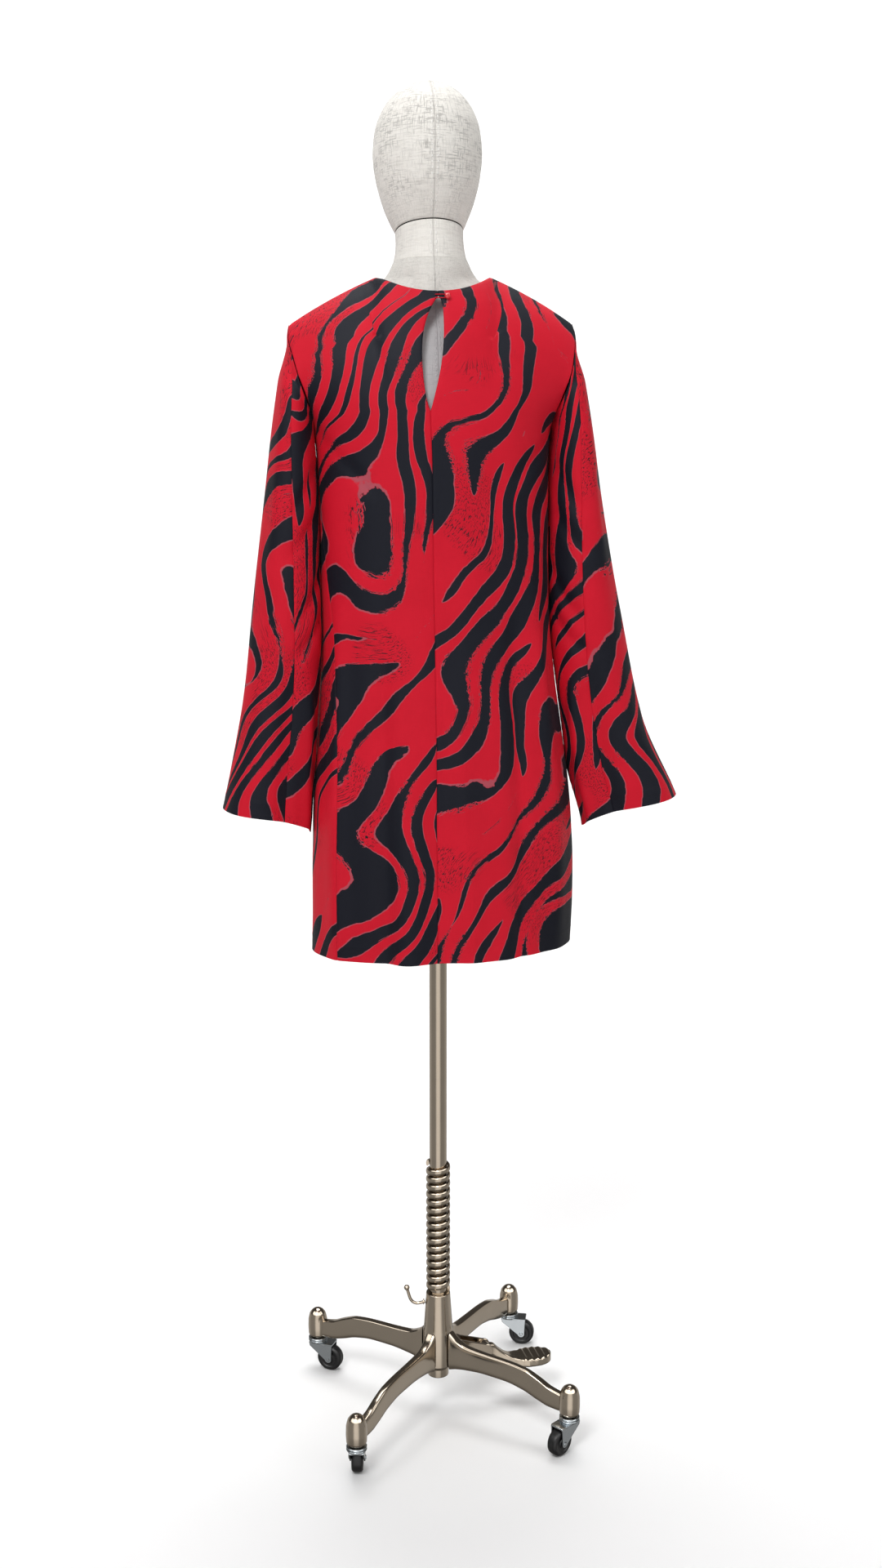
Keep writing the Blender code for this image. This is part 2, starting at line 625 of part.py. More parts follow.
def body_half(side, back):
    """Grid of points and normals of a quarter of the body, from the side seam to the centre."""
    rows = storeys()
    turns = half_turns()
    seam = seam_angles(side, rows)
    centre = np.pi / 2 if back else -np.pi / 2
    columns = seam[:, None] + (centre - seam[:, None]) * (turns / (np.pi / 2))[None, :]
    columns = np.clip(columns, -np.pi / 2 + 1e-6, np.pi / 2 - 1e-6)
    grid_rows = np.repeat(rows[:, None], len(turns), axis=1)
    surface = lambda column, row: body_surface(column, np.minimum(row, 2 - 1e-7), back, side)
    points = body_surface(columns, grid_rows, back, side)
    small = 1e-4
    across = (surface(np.clip(columns + small, -np.pi / 2, np.pi / 2), grid_rows)
              - surface(np.clip(columns - small, -np.pi / 2, np.pi / 2), grid_rows))
    # At the top edge the surface rolls over, so its normal is that of the whole last row.
    below = np.where(grid_rows > 2 - 1e-6, 0.9 / YOKE_ROWS, small)
    up = surface(columns, grid_rows + small) - surface(columns, grid_rows - below)
    normals = unit(np.cross(across, up))
    middle = np.array([0.0, 0.0, 1.0]) * points
    outward = np.sum(normals * (points - middle), axis=-1, keepdims=True)
    return points, np.where(outward < 0, -normals, normals)


def body_panels():
    """The front, from the right side seam round to the left, and the two halves of the back."""
    panels = {}
    right, right_n = body_half("right", False)
    left, left_n = body_half("left", False)
    panels["front"] = (np.concatenate([right, left[:, -2::-1]], axis=1),
                       np.concatenate([right_n, left_n[:, -2::-1]], axis=1))
    panels["back_left"] = body_half("left", True)
    points, normals = body_half("right", True)
    panels["back_right"] = (points[:, ::-1], normals[:, ::-1])
    return panels


def sleeve_panels(side):
    """The two pieces of one sleeve: over the arm, and under it."""
    sides = 2 * YOKE_ROWS
    drops = np.linspace(0, 1, SLEEVE_ROWS + 1) ** 1.25
    spans = {"sleeve_top_" + side: range(BACK_SLEEVE_SEAM, FRONT_SLEEVE_SEAM + 1),
             "sleeve_under_" + side: range(FRONT_SLEEVE_SEAM, BACK_SLEEVE_SEAM + sides + 1)}
    panels = {}
    for name, span in spans.items():
        turns = 2 * np.pi * (np.array(span) % sides) / sides
        columns, rows = np.meshgrid(turns, drops[::-1])
        points = sleeve_surface(columns, rows, side)
        small = 1e-4
        ahead = sleeve_surface(np.mod(columns + small, 2 * np.pi), rows, side)
        behind = sleeve_surface(np.mod(columns - small, 2 * np.pi), rows, side)
        up = (sleeve_surface(columns, np.maximum(rows - small, 0), side)
              - sleeve_surface(columns, np.minimum(rows + small, 1.1), side))
        normals = unit(np.cross(ahead - behind, up))
        if side == "left":
            points, normals = points[:, ::-1], -normals[:, ::-1]
        panels[name] = (points, normals)
    return panels


def share_normals(panels):
    """Give points that panels share at a seam one normal, so that their edges face each other."""
    sums = {}
    for points, normals in panels.values():
        for place, normal in zip(np.round(points.reshape(-1, 3), 5), normals.reshape(-1, 3)):
            key = tuple(place)
            sums[key] = sums.get(key, 0.0) + normal
    for points, normals in panels.values():
        flat = normals.reshape(-1, 3)
        for index, place in enumerate(np.round(points.reshape(-1, 3), 5)):
            flat[index] = unit(sums[tuple(place)])
        normals[...] = flat.reshape(normals.shape)


def border_of(rows, columns):
    """Places round the border of a grid, in one closed round."""
    return ([(0, column) for column in range(columns - 1)]
            + [(row, columns - 1) for row in range(rows - 1)]
            + [(rows - 1, column) for column in range(columns - 1, 0, -1)]
            + [(row, 0) for row in range(rows - 1, 0, -1)])


def draw_in_edges(points, normals):
    """Draw a panel's seam edges back into the panel by half of the seam gap. Row 0 is a free hem."""
    rows, columns = points.shape[:2]
    border = border_of(rows, columns)
    moved = points.copy()
    for index, (row, column) in enumerate(border):
        if row == 0 and column not in (0, columns - 1):
            continue
        here = points[row, column]
        into = np.zeros(3)
        for next_row, next_column in ((row - 1, column - 1), (row - 1, column + 1),
                                      (row + 1, column - 1), (row + 1, column + 1)):
            if 0 <= next_row < rows and 0 <= next_column < columns:
                into += unit(points[next_row, next_column] - here)
        if row == 0:
            into = points[0, 1] - here if column == 0 else points[0, columns - 2] - here
        ahead = unit(points[border[(index + 1) % len(border)]] - here)
        behind = unit(here - points[border[index - 1]])
        if ahead @ behind > 0.75:
            along = unit(ahead + behind)
            into = into - along * (into @ along)
        into = into - normals[row, column] * (into @ normals[row, column])
        moved[row, column] = here + unit(into) * (SEAM_GAP / 2)
    return moved


def wall(points, normals):
    """Closed wall of even thickness on both sides of a grid of points."""
    rows, columns = points.shape[:2]
    outer = points + normals * (CLOTH / 2)
    inner = points - normals * (CLOTH / 2)
    number = np.arange(rows * columns).reshape(rows, columns)
    deep = number + rows * columns
    faces = []
    for row in range(rows - 1):
        for column in range(columns - 1):
            faces.append((number[row, column], number[row, column + 1],
                          number[row + 1, column + 1], number[row + 1, column]))
            faces.append((deep[row, column], deep[row + 1, column],
                          deep[row + 1, column + 1], deep[row, column + 1]))
    border = border_of(rows, columns)
    for index, here in enumerate(border):
        there = border[(index + 1) % len(border)]
        corners = (number[here], deep[here], deep[there], number[there])
        # The two panels at a seam split their twisted edge faces alike, from the lower outside corner.
        if points[here][2] < points[there][2]:
            faces += [(corners[0], corners[1], corners[2]), (corners[0], corners[2], corners[3])]
        else:
            faces += [(corners[0], corners[1], corners[3]), (corners[1], corners[2], corners[3])]
    faces = [tuple(int(corner) for corner in face) for face in faces]
    return np.concatenate([outer.reshape(-1, 3), inner.reshape(-1, 3)]), faces


def make_dress(parent):
    for panels in (body_panels(), sleeve_panels("left"), sleeve_panels("right")):
        share_normals(panels)
        for name, (points, normals) in panels.items():
            points = draw_in_edges(points, normals)
            add_piece(name, *wall(points, normals), "print_cloth", parent)


def back_at(x, height):
    """How far back the outside of the dress lies at a place near the middle of its back."""
    side = "right" if x >= 0 else "left"
    turns, levels = np.meshgrid(np.linspace(NECK_TURN, np.pi / 2, 60), np.linspace(1.6, 1.999, 80))
    points = body_surface(turns, levels, True, side)
    off = np.hypot(points[..., 0] - x, points[..., 2] - height)
    nearest = np.unravel_index(np.argmin(off), off.shape)
    return points[nearest][1] - CLOTH * 0.5


def make_fastening(parent):
    """Bead button on the right of the neck opening, and the loop that comes to it from the left."""
    outside_y = back_at(BUTTON_X, BUTTON_Z) - SEAM_GAP * 2
    frame = Matrix.Translation((BUTTON_X, outside_y, BUTTON_Z)) @ Matrix.Rotation(math.pi / 2, 4, "X")
    rise = BUTTON_HEIGHT - SHANK_HEIGHT
    dome = [(BUTTON_RADIUS * math.sin(angle), SHANK_HEIGHT + rise * (1 - math.cos(angle)) / 2)
            for angle in np.radians([25, 60, 90, 125, 160])]
    profile = [(SHANK_RADIUS, 0.0), (SHANK_RADIUS, SHANK_HEIGHT)] + dome
    add_piece("button", *turned(profile, 12), "red_bead", parent, frame)
    bend = SHANK_RADIUS + LOOP_WIRE + SEAM_GAP * 1.5
    arc = [(BUTTON_X + bend * math.cos(angle), BUTTON_Z + bend * math.sin(angle))
           for angle in np.radians(np.linspace(-90, 90, 7))]
    arms = [BUTTON_X - 0.004, BUTTON_X - 0.009, -0.0025]
    lower = [(x, BUTTON_Z - bend) for x in reversed(arms)]
    upper = [(x, BUTTON_Z + bend) for x in arms]
    path = [(x, back_at(x, z) - LOOP_LIFT, z) for x, z in lower + arc + upper]
    add_piece("button_loop", *tube_along(path, LOOP_WIRE, 5), "print_cloth", parent)


# ================================================================ dress form
def oval_ring(width, back, front, power, height, middle_y=0.0, rise=0.0):
    """One closed ring of the form; rise lifts its back above its front."""
    angles = 2 * np.pi * np.arange(FORM_SIDES) / FORM_SIDES
    cosine, sine = np.cos(angles), np.sin(angles)
    x = width * np.sign(cosine) * np.abs(cosine) ** (2 / power)
    y = np.where(sine >= 0, front, back) * np.sign(sine) * np.abs(sine) ** (2 / power) + middle_y
    return np.stack([x, y, height - rise * y], axis=1)


def make_form(parent):
    torso = np.array([oval_ring(width, back, front, power, height)
                      for height, width, back, front, power in TORSO])
    add_piece("torso", *lofted(torso), "linen", parent)
    low, high = NECK[0][0], NECK[-1][0]
    neck = np.array([oval_ring(width, depth, depth, 2.0, height, middle,
                               NECK_CUT_RISE * (height - low) / (high - low))
                     for height, width, depth, middle in NECK])
    add_piece("neck", *lofted(neck), "linen", parent)
    head = []
    for height, width, depth, middle in HEAD:
        rise = NECK_CUT_RISE * max(0.0, 1.0 - (height - high) / 0.05)
        head.append(oval_ring(width, depth, depth, 2.0, height, middle, rise))
    head.append(oval_ring(0.004, 0.006, 0.006, 2.0, HEAD_TOP_Z, HEAD[-1][3]))
    add_piece("head", *lofted(np.array(head)), "linen", parent)


# ================================================================ stand
def polygon_radius(inside, sides):
    """Corner radius of a polygon whose flats lie at a radius."""
    return inside / math.cos(math.pi / sides)


def make_pole(parent):
    inside = polygon_radius(COLUMN_RADIUS + RUNNING_GAP, ROUND)
    low = HUB_SOCKET_Z + SEAM_GAP
    top = TORSO[0][0] - POLE_FLANGE_RADIUS * math.sin(abs(FORM_LEAN)) - SEAM_GAP
    profile = [(inside, low), (POLE_RADIUS, low), (POLE_RADIUS, top - POLE_FLANGE),
               (POLE_FLANGE_RADIUS, top - POLE_FLANGE), (POLE_FLANGE_RADIUS, top)]
    hollow = [(inside, top - 0.02)]
    sides = ROUND
    angles = 2 * np.pi * np.arange(sides) / sides
    rings = [np.stack([radius * np.cos(angles), radius * np.sin(angles), np.full(sides, height)], 1)
             for radius, height in hollow + profile]
    points = np.concatenate(rings)
    faces = ring_faces(len(rings), sides)
    faces = [tuple(range(sides))] + faces + [tuple(range((len(rings) - 1) * sides, len(rings) * sides))]
    faces[0] = tuple(reversed(faces[0]))
    add_piece("pole", points, faces, "nickel", parent)
    rod = [(COLUMN_RADIUS, HUB_BORE_Z + SEAM_GAP), (COLUMN_RADIUS, COLUMN_TOP_Z - 0.002),
           (COLUMN_RADIUS - 0.002, COLUMN_TOP_Z)]
    add_piece("column", *turned(rod, ROUND), "nickel", parent)


def make_spring(parent):
    """Flat-wire spring round the foot of the pole: an oval section carried along a helix."""
    steps = int(round(SPRING_TURNS * SPRING_STEPS))
    angles = 2 * np.pi * np.arange(steps + 1) / SPRING_STEPS
    start = HUB_TOP_Z + SEAM_GAP + SPRING_WIRE_Z
    section = 2 * np.pi * np.arange(6) / 6 + np.pi / 6
    radius = SPRING_MIDDLE_RADIUS + SPRING_WIRE_R * np.cos(section)
    rings = []
    for angle in angles:
        height = start + SPRING_PITCH * angle / (2 * np.pi) + SPRING_WIRE_Z * np.sin(section)
        rings.append(np.stack([radius * np.cos(angle), radius * np.sin(angle), height], axis=1))
    points, faces = lofted(np.array(rings))
    faces = [tuple(reversed(face)) for face in faces]
    add_piece("spring", points, faces, "nickel", parent)


def make_hub(parent):
    socket = polygon_radius(POLE_RADIUS + RUNNING_GAP, ROUND)
    bore = polygon_radius(COLUMN_RADIUS + RUNNING_GAP, ROUND)
    profile = [(bore, HUB_BORE_Z), (bore, HUB_SOCKET_Z), (socket, HUB_SOCKET_Z), (socket, HUB_TOP_Z),
               (HUB_TOP_RADIUS - 0.001, HUB_TOP_Z), (HUB_TOP_RADIUS, HUB_TOP_Z - 0.0012),
               (HUB_WAIST_RADIUS, 0.1240), (HUB_FOOT_RADIUS, 0.1190), (HUB_FOOT_RADIUS, 0.0680),
               (HUB_BOSS_RADIUS, 0.0630), (HUB_BOSS_RADIUS, HUB_BOTTOM_Z)]
    profile.reverse()
    add_piece("hub", *turned(profile, ROUND), "nickel", parent)


def make_leg(number, frame):
    """One leg with its domed caster socket, cast as one piece, along +X of its frame."""
    leg = add_piece(f"leg_{number}", *bar(LEG, LEG_CHAMFER), "nickel", frame)
    profile = ([(CAP_SOCKET_RADIUS, CAP_SOCKET_Z), (CAP_SOCKET_RADIUS, CAP[0][1])] + CAP
               + [(0.0008, CAP_TOP_Z)])
    points, faces = turned(profile, CAP_SIDES)
    cap = add_piece(f"cap_shape_{number}", points, faces, "nickel", frame,
                    Matrix.Translation((STEM_RING_RADIUS, 0, 0)))
    union(leg, cap)
    return leg


def make_caster(number, frame, heading):
    """Swivel fork with its raceway, stem and axle, and its wheel, trailing the stem along +X."""
    plate = [(RACEWAY_RADIUS - 0.001, RACEWAY_BOTTOM_Z - 0.0006), (RACEWAY_RADIUS, RACEWAY_BOTTOM_Z + 0.0010),
             (RACEWAY_RADIUS, RACEWAY_TOP_Z - 0.0012), (RACEWAY_RADIUS - 0.0014, RACEWAY_TOP_Z),
             (STEM_RADIUS, RACEWAY_TOP_Z), (STEM_RADIUS, STEM_TOP_Z)]
    fork = add_piece(f"caster_fork_{number}", *turned(plate, CAP_SIDES), "zinc", frame)
    crown_top = RACEWAY_BOTTOM_Z
    half = FORK_WIDTH / 2
    crown_outline = [(-0.0105, CROWN_BOTTOM_Z), (0.0265, CROWN_BOTTOM_Z),
                     (0.0265, crown_top), (-0.0105, crown_top)]
    crown = prism(crown_outline, -half + 0.0003, half - 0.0003)
    pieces = [add_piece(f"crown_shape_{number}", *crown, "zinc", frame)]
    arc = [(CASTER_TRAIL + FORK_END_RADIUS * math.cos(angle), WHEEL_RADIUS + FORK_END_RADIUS * math.sin(angle))
           for angle in np.radians(np.linspace(-150, -10, 5))]
    outline = [(-0.0101, CROWN_BOTTOM_Z + 0.001)] + arc + [(0.0261, CROWN_BOTTOM_Z + 0.001)]
    for label, start in (("near", -half), ("far", half - FORK_PLATE)):
        pieces.append(add_piece(f"{label}_plate_shape_{number}", *prism(outline, start, start + FORK_PLATE),
                                "zinc", frame))
    across = Matrix.Translation((CASTER_TRAIL, 0, WHEEL_RADIUS)) @ Matrix.Rotation(math.pi / 2, 4, "X")
    axle = turned([(AXLE_RADIUS, -AXLE_LENGTH / 2), (AXLE_RADIUS, AXLE_LENGTH / 2)], 10)
    pieces.append(add_piece(f"axle_shape_{number}", *axle, "zinc", frame, across))
    union(fork, *pieces)

    corner = polygon_radius(WHEEL_RADIUS, WHEEL_SIDES)
    wide = WHEEL_WIDTH / 2
    bore = polygon_radius(WHEEL_BORE, WHEEL_SIDES)
    tread = [(bore, -wide * 0.9), (corner * 0.60, -wide), (corner * 0.86, -wide), (corner, -wide * 0.68),
             (corner, wide * 0.68), (corner * 0.86, wide), (corner * 0.60, wide), (bore, wide * 0.9)]
    add_piece(f"wheel_{number}", *turned_tube(tread, WHEEL_SIDES),
              "black_rubber", frame, across)


def make_base(parent):
    make_hub(parent)
    for number in range(1, LEG_COUNT + 1):
        angle = FIRST_LEG_ANGLE + 2 * math.pi * (number - 1) / LEG_COUNT
        turn = Matrix.Rotation(angle, 4, "Z")
        make_leg(number, add_empty(f"leg_axis_{number}", turn, parent))
        stem = turn @ Vector((STEM_RING_RADIUS, 0, 0))
        heading = math.radians(CASTER_HEADINGS[number - 1])
        place = Matrix.Translation(stem) @ Matrix.Rotation(heading, 4, "Z")
        frame = add_empty(f"stem_axis_{number}", place, parent)
        make_caster(number, frame, heading)


def make_hook(parent):
    frame = add_empty("hook_axis", Matrix.Rotation(HOOK_ANGLE, 4, "Z"), parent)
    path = [(reach, 0.0, height) for reach, height in HOOK_PATH]
    hook = add_piece("hook", *tube_along(path, HOOK_WIRE, 8), "nickel", frame)
    ball = [(HOOK_BALL * math.cos(angle), HOOK_BALL * math.sin(angle))
            for angle in np.radians(np.linspace(-72, 72, 6))]
    end = Matrix.Translation((HOOK_PATH[-1][0] + 0.0006, 0, HOOK_PATH[-1][1] + HOOK_BALL * 0.6))
    union(hook, add_piece("hook_ball_shape", *turned(ball, 10), "nickel", frame, end))


def disc_outline(centre, radius, angles):
    return [(centre[0] + radius * math.cos(angle), centre[1] + radius * math.sin(angle)) for angle in angles]


def make_pedal(parent):
    frame = add_empty("pedal_axis", Matrix.Rotation(PEDAL_ANGLE, 4, "Z"), parent)
    pivot = (PEDAL_PIVOT_R, PEDAL_PIVOT_Z)
    root = HUB_FOOT_RADIUS + 0.0006
    nose = disc_outline(pivot, CHEEK_RADIUS, np.radians(np.linspace(-90, 90, 7)))
    outline = [(root, 0.0745)] + nose + [(root, 0.1040)]
    outer = CHEEK_GAP / 2 + CHEEK_THICKNESS
    bracket = add_piece("pedal_bracket", *prism(outline, -outer, -CHEEK_GAP / 2), "nickel", frame)
    other = add_piece("far_cheek_shape", *prism(outline, CHEEK_GAP / 2, outer), "nickel", frame)
    web_outline = [(root, 0.0745), (root + 0.010, 0.0745), (root + 0.010, 0.1020), (root, 0.1040)]
    web = prism(web_outline, -outer + 0.001, outer - 0.001)
    back = add_piece("bracket_web_shape", *web, "nickel", frame)
    across = Matrix.Translation((PEDAL_PIVOT_R, 0, PEDAL_PIVOT_Z)) @ Matrix.Rotation(math.pi / 2, 4, "X")
    pin = turned([(PEDAL_PIN_RADIUS, -outer + 0.0012), (PEDAL_PIN_RADIUS, outer - 0.0012)], 12)
    union(bracket, other, back, add_piece("pin_shape", *pin, "nickel", frame, across))

    pitch = (PAD_END - PAD_START) / PAD_RIBS
    rows = list(PEDAL_ARM)
    for rib in range(PAD_RIBS):
        begin = PAD_START + pitch * rib
        for offset, lift in ((0.10, 0), (0.22, RIB_HEIGHT), (0.62, RIB_HEIGHT), (0.74, 0)):
            reach = begin + offset * pitch
            part = (reach - PAD_START) / (PAD_END - PAD_START)
            width = PAD_WIDTH * math.sqrt(max(1 - max(part - 0.45, 0) ** 2 / 0.42, 0.05))
            rows.append((reach, PAD_TOP_Z + lift, PAD_BOTTOM_Z, width * (0.86 + 0.14 * min(part / 0.2, 1))))
    rows.append((PAD_END, PAD_TOP_Z - 0.001, PAD_BOTTOM_Z + 0.001, PAD_WIDTH * 0.45))
    pedal = add_piece("pedal", *bar(rows, 0.0022), "nickel", frame)
    half = PEDAL_BARREL_WIDTH / 2
    barrel = turned([(PEDAL_BARREL_RADIUS, -half), (PEDAL_BARREL_RADIUS, half)], 14)
    union(pedal, add_piece("barrel_shape", *barrel, "nickel", frame, across))
    clear = polygon_radius(PEDAL_PIN_RADIUS + RUNNING_GAP, 12)
    bore = turned([(clear, -half - 0.002), (clear, half + 0.002)], 12)
    cut(pedal, add_piece("pedal_bore_shape", *bore, "nickel", frame, across))


def main():
    clear_scene()
    stand = add_empty("stand_axis", Matrix.Translation((STAND_X, 0, 0)))
    make_base(stand)
    make_pole(stand)
    make_spring(stand)
    make_hook(stand)
    make_pedal(stand)
    pose = (Matrix.Translation((0, 0, FORM_PIVOT_Z)) @ Matrix.Rotation(FORM_YAW, 4, "Z")
            @ Matrix.Rotation(FORM_LEAN, 4, "Y") @ Matrix.Translation((0, 0, -FORM_PIVOT_Z)))
    form = add_empty("form_axis", pose, stand)
    make_form(form)
    make_dress(form)
    make_fastening(form)
    bpy.context.view_layer.update()


main()
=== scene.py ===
"""Looks of a long-sleeved mini dress in a brushed print, on a headed linen dress form with a castered stand."""
import math

import bpy
import numpy as np
from mathutils import Matrix, Vector


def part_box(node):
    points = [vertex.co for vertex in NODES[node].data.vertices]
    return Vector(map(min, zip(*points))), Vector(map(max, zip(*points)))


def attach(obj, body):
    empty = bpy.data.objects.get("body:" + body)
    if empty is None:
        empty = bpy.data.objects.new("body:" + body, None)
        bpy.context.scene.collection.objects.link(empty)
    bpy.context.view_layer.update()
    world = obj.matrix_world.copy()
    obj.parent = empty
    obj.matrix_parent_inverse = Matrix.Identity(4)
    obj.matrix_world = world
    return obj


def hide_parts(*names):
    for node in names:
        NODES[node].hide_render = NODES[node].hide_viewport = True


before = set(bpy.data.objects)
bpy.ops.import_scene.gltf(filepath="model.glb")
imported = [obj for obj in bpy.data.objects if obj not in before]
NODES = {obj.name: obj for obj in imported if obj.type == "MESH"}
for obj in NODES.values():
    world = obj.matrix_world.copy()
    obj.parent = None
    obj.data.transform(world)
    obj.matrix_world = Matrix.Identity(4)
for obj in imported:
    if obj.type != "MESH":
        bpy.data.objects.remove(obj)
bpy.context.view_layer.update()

bl_info = {
    "name": "Printed mini dress on a dress form",
    "version": (1, 0, 0),
    "blender": (4, 5, 0),
    "location": "3D View > Sidebar > Dress",
    "description": "Builds the cloth, dress form, stand and studio round the packed solids",
    "category": "Object",
}

# ---------------------------------------------------------------- cloth and seams

CLOTH = 0.0016              # thickness of the cloth wall
SEAM_GAP = 0.0003           # space left between two pieces that touch
HEM_Z = 0.694
UNDERARM_Z = 1.375
SHOULDER_X, SHOULDER_Z = 0.181, 1.505
NECK_X, NECK_Z = 0.0725, 1.563
BACK_NECK_Y, BACK_NECK_Z = -0.064, 1.541
FRONT_NECK_Y, FRONT_NECK_Z = 0.083, 1.488
SECTION_POWER = 2.25        # how square a section of the body is; 2 is an ellipse

# Body of the dress below the underarm.
BODY = [
    # height, half width, back depth, front depth
    (0.694, 0.173, 0.118, 0.122),
    (0.8, 0.174, 0.115, 0.121),
    (0.9, 0.1695, 0.112, 0.12),
    (0.98, 0.1615, 0.108, 0.119),
    (1.06, 0.153, 0.104, 0.119),
    (1.13, 0.1485, 0.101, 0.12),
    (1.2, 0.148, 0.1, 0.122),
    (1.3, 0.1482, 0.1015, 0.121),
    (1.345, 0.149, 0.1025, 0.116),
    (1.375, 0.1515, 0.103, 0.111),
]

# Armhole edge, from the underarm (level 0) to the shoulder point (level 1).
ARMHOLE = [
    # level, back half width, front half width
    (0.0, 0.1515, 0.1515),
    (0.1, 0.153, 0.1515),
    (0.26, 0.16, 0.153),
    (0.47, 0.17, 0.159),
    (0.63, 0.176, 0.167),
    (0.9, 0.1825, 0.1795),
    (1.0, 0.181, 0.181),
]
ARMHOLE_BACK_REACH = 0.05
ARMHOLE_FRONT_REACH = 0.046
NECK_FAN = 0.05            # how far the columns of the grid fan out below the neckline

# Where the side seams run: degrees round from the side, towards the back. The dress hangs turned, so
# the left seam comes round to the back.
SIDE_SEAMS = [
    # height, left, right
    (0.694, 38.0, -5.0),
    (0.9, 37.0, -5.0),
    (1.06, 31.0, -4.0),
    (1.2, 17.0, -2.0),
    (1.3, 6.0, -1.0),
    (1.375, 0.0, 0.0),
]

# How far the dress hangs to the right of the form's middle, and its middle back seam to the right of that.
DRIFT = [
    # height, drift
    (0.694, 0.0005),
    (0.76, 0.0035),
    (0.85, 0.005),
    (0.95, 0.0045),
    (1.06, 0.0025),
    (1.2, 0.0),
    (1.48, 0.0),
    (1.563, 0.003),
]
MIDDLE_BACK = [
    # height, drift
    (0.694, -0.0155),
    (0.85, -0.018),
    (0.95, -0.0165),
    (1.06, -0.014),
    (1.2, -0.0117),
    (1.33, -0.012),
    (1.395, -0.0132),
    (1.45, -0.0093),
    (1.5, -0.0044),
    (1.53, 0.0),
]

# One sleeve below the armhole.
SLEEVE = [
    # height, inner x, outer x, half depth, middle y, turn of the seams (radians)
    (0.845, 0.18, 0.308, 0.05, -0.012, 0.75),
    (0.9, 0.1752, 0.293, 0.046, -0.012, 0.68),
    (0.95, 0.1694, 0.28, 0.043, -0.012, 0.6),
    (1.03, 0.1594, 0.261, 0.042, -0.012, 0.52),
    (1.13, 0.1511, 0.244, 0.044, -0.012, 0.4),
    (1.2, 0.1505, 0.2325, 0.047, -0.01, 0.33),
    (1.3, 0.1508, 0.217, 0.052, -0.006, 0.17),
    (1.375, 0.154, 0.2065, 0.054, -0.003, 0.06),
    (1.45, 0.156, 0.194, 0.052, 0.0, 0.0),
    (1.5, 0.157, 0.185, 0.05, 0.0, 0.0),
]
SLEEVE_SIDES = {
    # how far the sleeve swings out, how far its cuff flares, height of the cuff inside and outside
    "left": (0.965, 0.000, 0.853, 0.889),
    "right": (1.030, 0.022, 0.849, 0.889),
}

# Keyhole in the middle of the back.
KEYHOLE_BOTTOM_Z, KEYHOLE_TOP_Z = 1.395, 1.533
KEYHOLE_LEFT, KEYHOLE_RIGHT = 0.0142, 0.012

# Soft flutes of the skirt and of the cuffs.
FLUTES = [
    # waves round the section, depth, starting angle (radians)
    (7, 0.0036, 0.9),
    (11, 0.0014, 2.1),
]
FLUTE_TOP_Z = 1.08
CUFF_FLUTES, CUFF_FLUTE_DEPTH = 3, 0.0022

ARMHOLE_STEP = 0.0009                           # from the armhole edge out to the sleeve, at the shoulder
BACK_SLEEVE_SEAM, FRONT_SLEEVE_SEAM, SLEEVE_SIDES_COUNT = 5, 17, 18     # the sleeve's seams, and a full turn

# ---------------------------------------------------------------- button and loop
BUTTON_X, BUTTON_Z = 0.0125, 1.5335
BUTTON_RADIUS, BUTTON_HEIGHT = 0.0038, 0.0062
SHANK_RADIUS, SHANK_HEIGHT = 0.0012, 0.0029
LOOP_WIRE = 0.0006
LOOP_LIFT, LOOP_START_X = 0.001, -0.0025

# ---------------------------------------------------------------- dress form
FORM_YAW = math.radians(6.5)        # the form stands turned on its pole
FORM_LEAN = math.radians(-0.7)      # and leans a little to its left
FORM_PIVOT_Z = 0.8
TORSO = [
    # height, half width, back depth, front depth, power
    (0.8014, 0.148, 0.093, 0.094, 2.2),
    (0.806, 0.153, 0.098, 0.0985, 2.2),
    (0.84, 0.158, 0.101, 0.102, 2.2),
    (0.9, 0.1605, 0.104, 0.106, 2.2),
    (0.96, 0.153, 0.102, 0.105, 2.2),
    (1.04, 0.133, 0.092, 0.096, 2.15),
    (1.11, 0.118, 0.08, 0.088, 2.1),
    (1.2, 0.129, 0.087, 0.102, 2.15),
    (1.28, 0.14, 0.0945, 0.115, 2.2),
    (1.34, 0.143, 0.097, 0.108, 2.2),
    (1.375, 0.144, 0.097, 0.1, 2.15),
    (1.41, 0.148, 0.0945, 0.094, 2.05),
    (1.44, 0.157, 0.089, 0.089, 1.9),
    (1.46, 0.164, 0.0835, 0.085, 1.8),
    (1.482, 0.171, 0.0765, 0.08, 1.7),
    (1.495, 0.173, 0.0715, 0.0765, 1.65),
    (1.504, 0.176, 0.064, 0.068, 1.55),
    (1.516, 0.1575, 0.0565, 0.0595, 1.6),
    (1.5316, 0.131, 0.048, 0.0485, 1.7),
    (1.543, 0.1015, 0.0365, 0.0335, 1.8),
    (1.552, 0.0775, 0.032, 0.0295, 1.85),
    (1.56, 0.061, 0.034, 0.0325, 1.95),
    (1.569, 0.0535, 0.041, 0.043, 2.0),
    (1.583, 0.0465, 0.046, 0.052, 2.0),
]
NECK = [
    # height, half width, half depth, middle y
    (1.5833, 0.0463, 0.0485, 0.0035),
    (1.595, 0.044, 0.048, 0.005),
    (1.608, 0.043, 0.048, 0.0075),
    (1.6222, 0.0432, 0.049, 0.01),
]
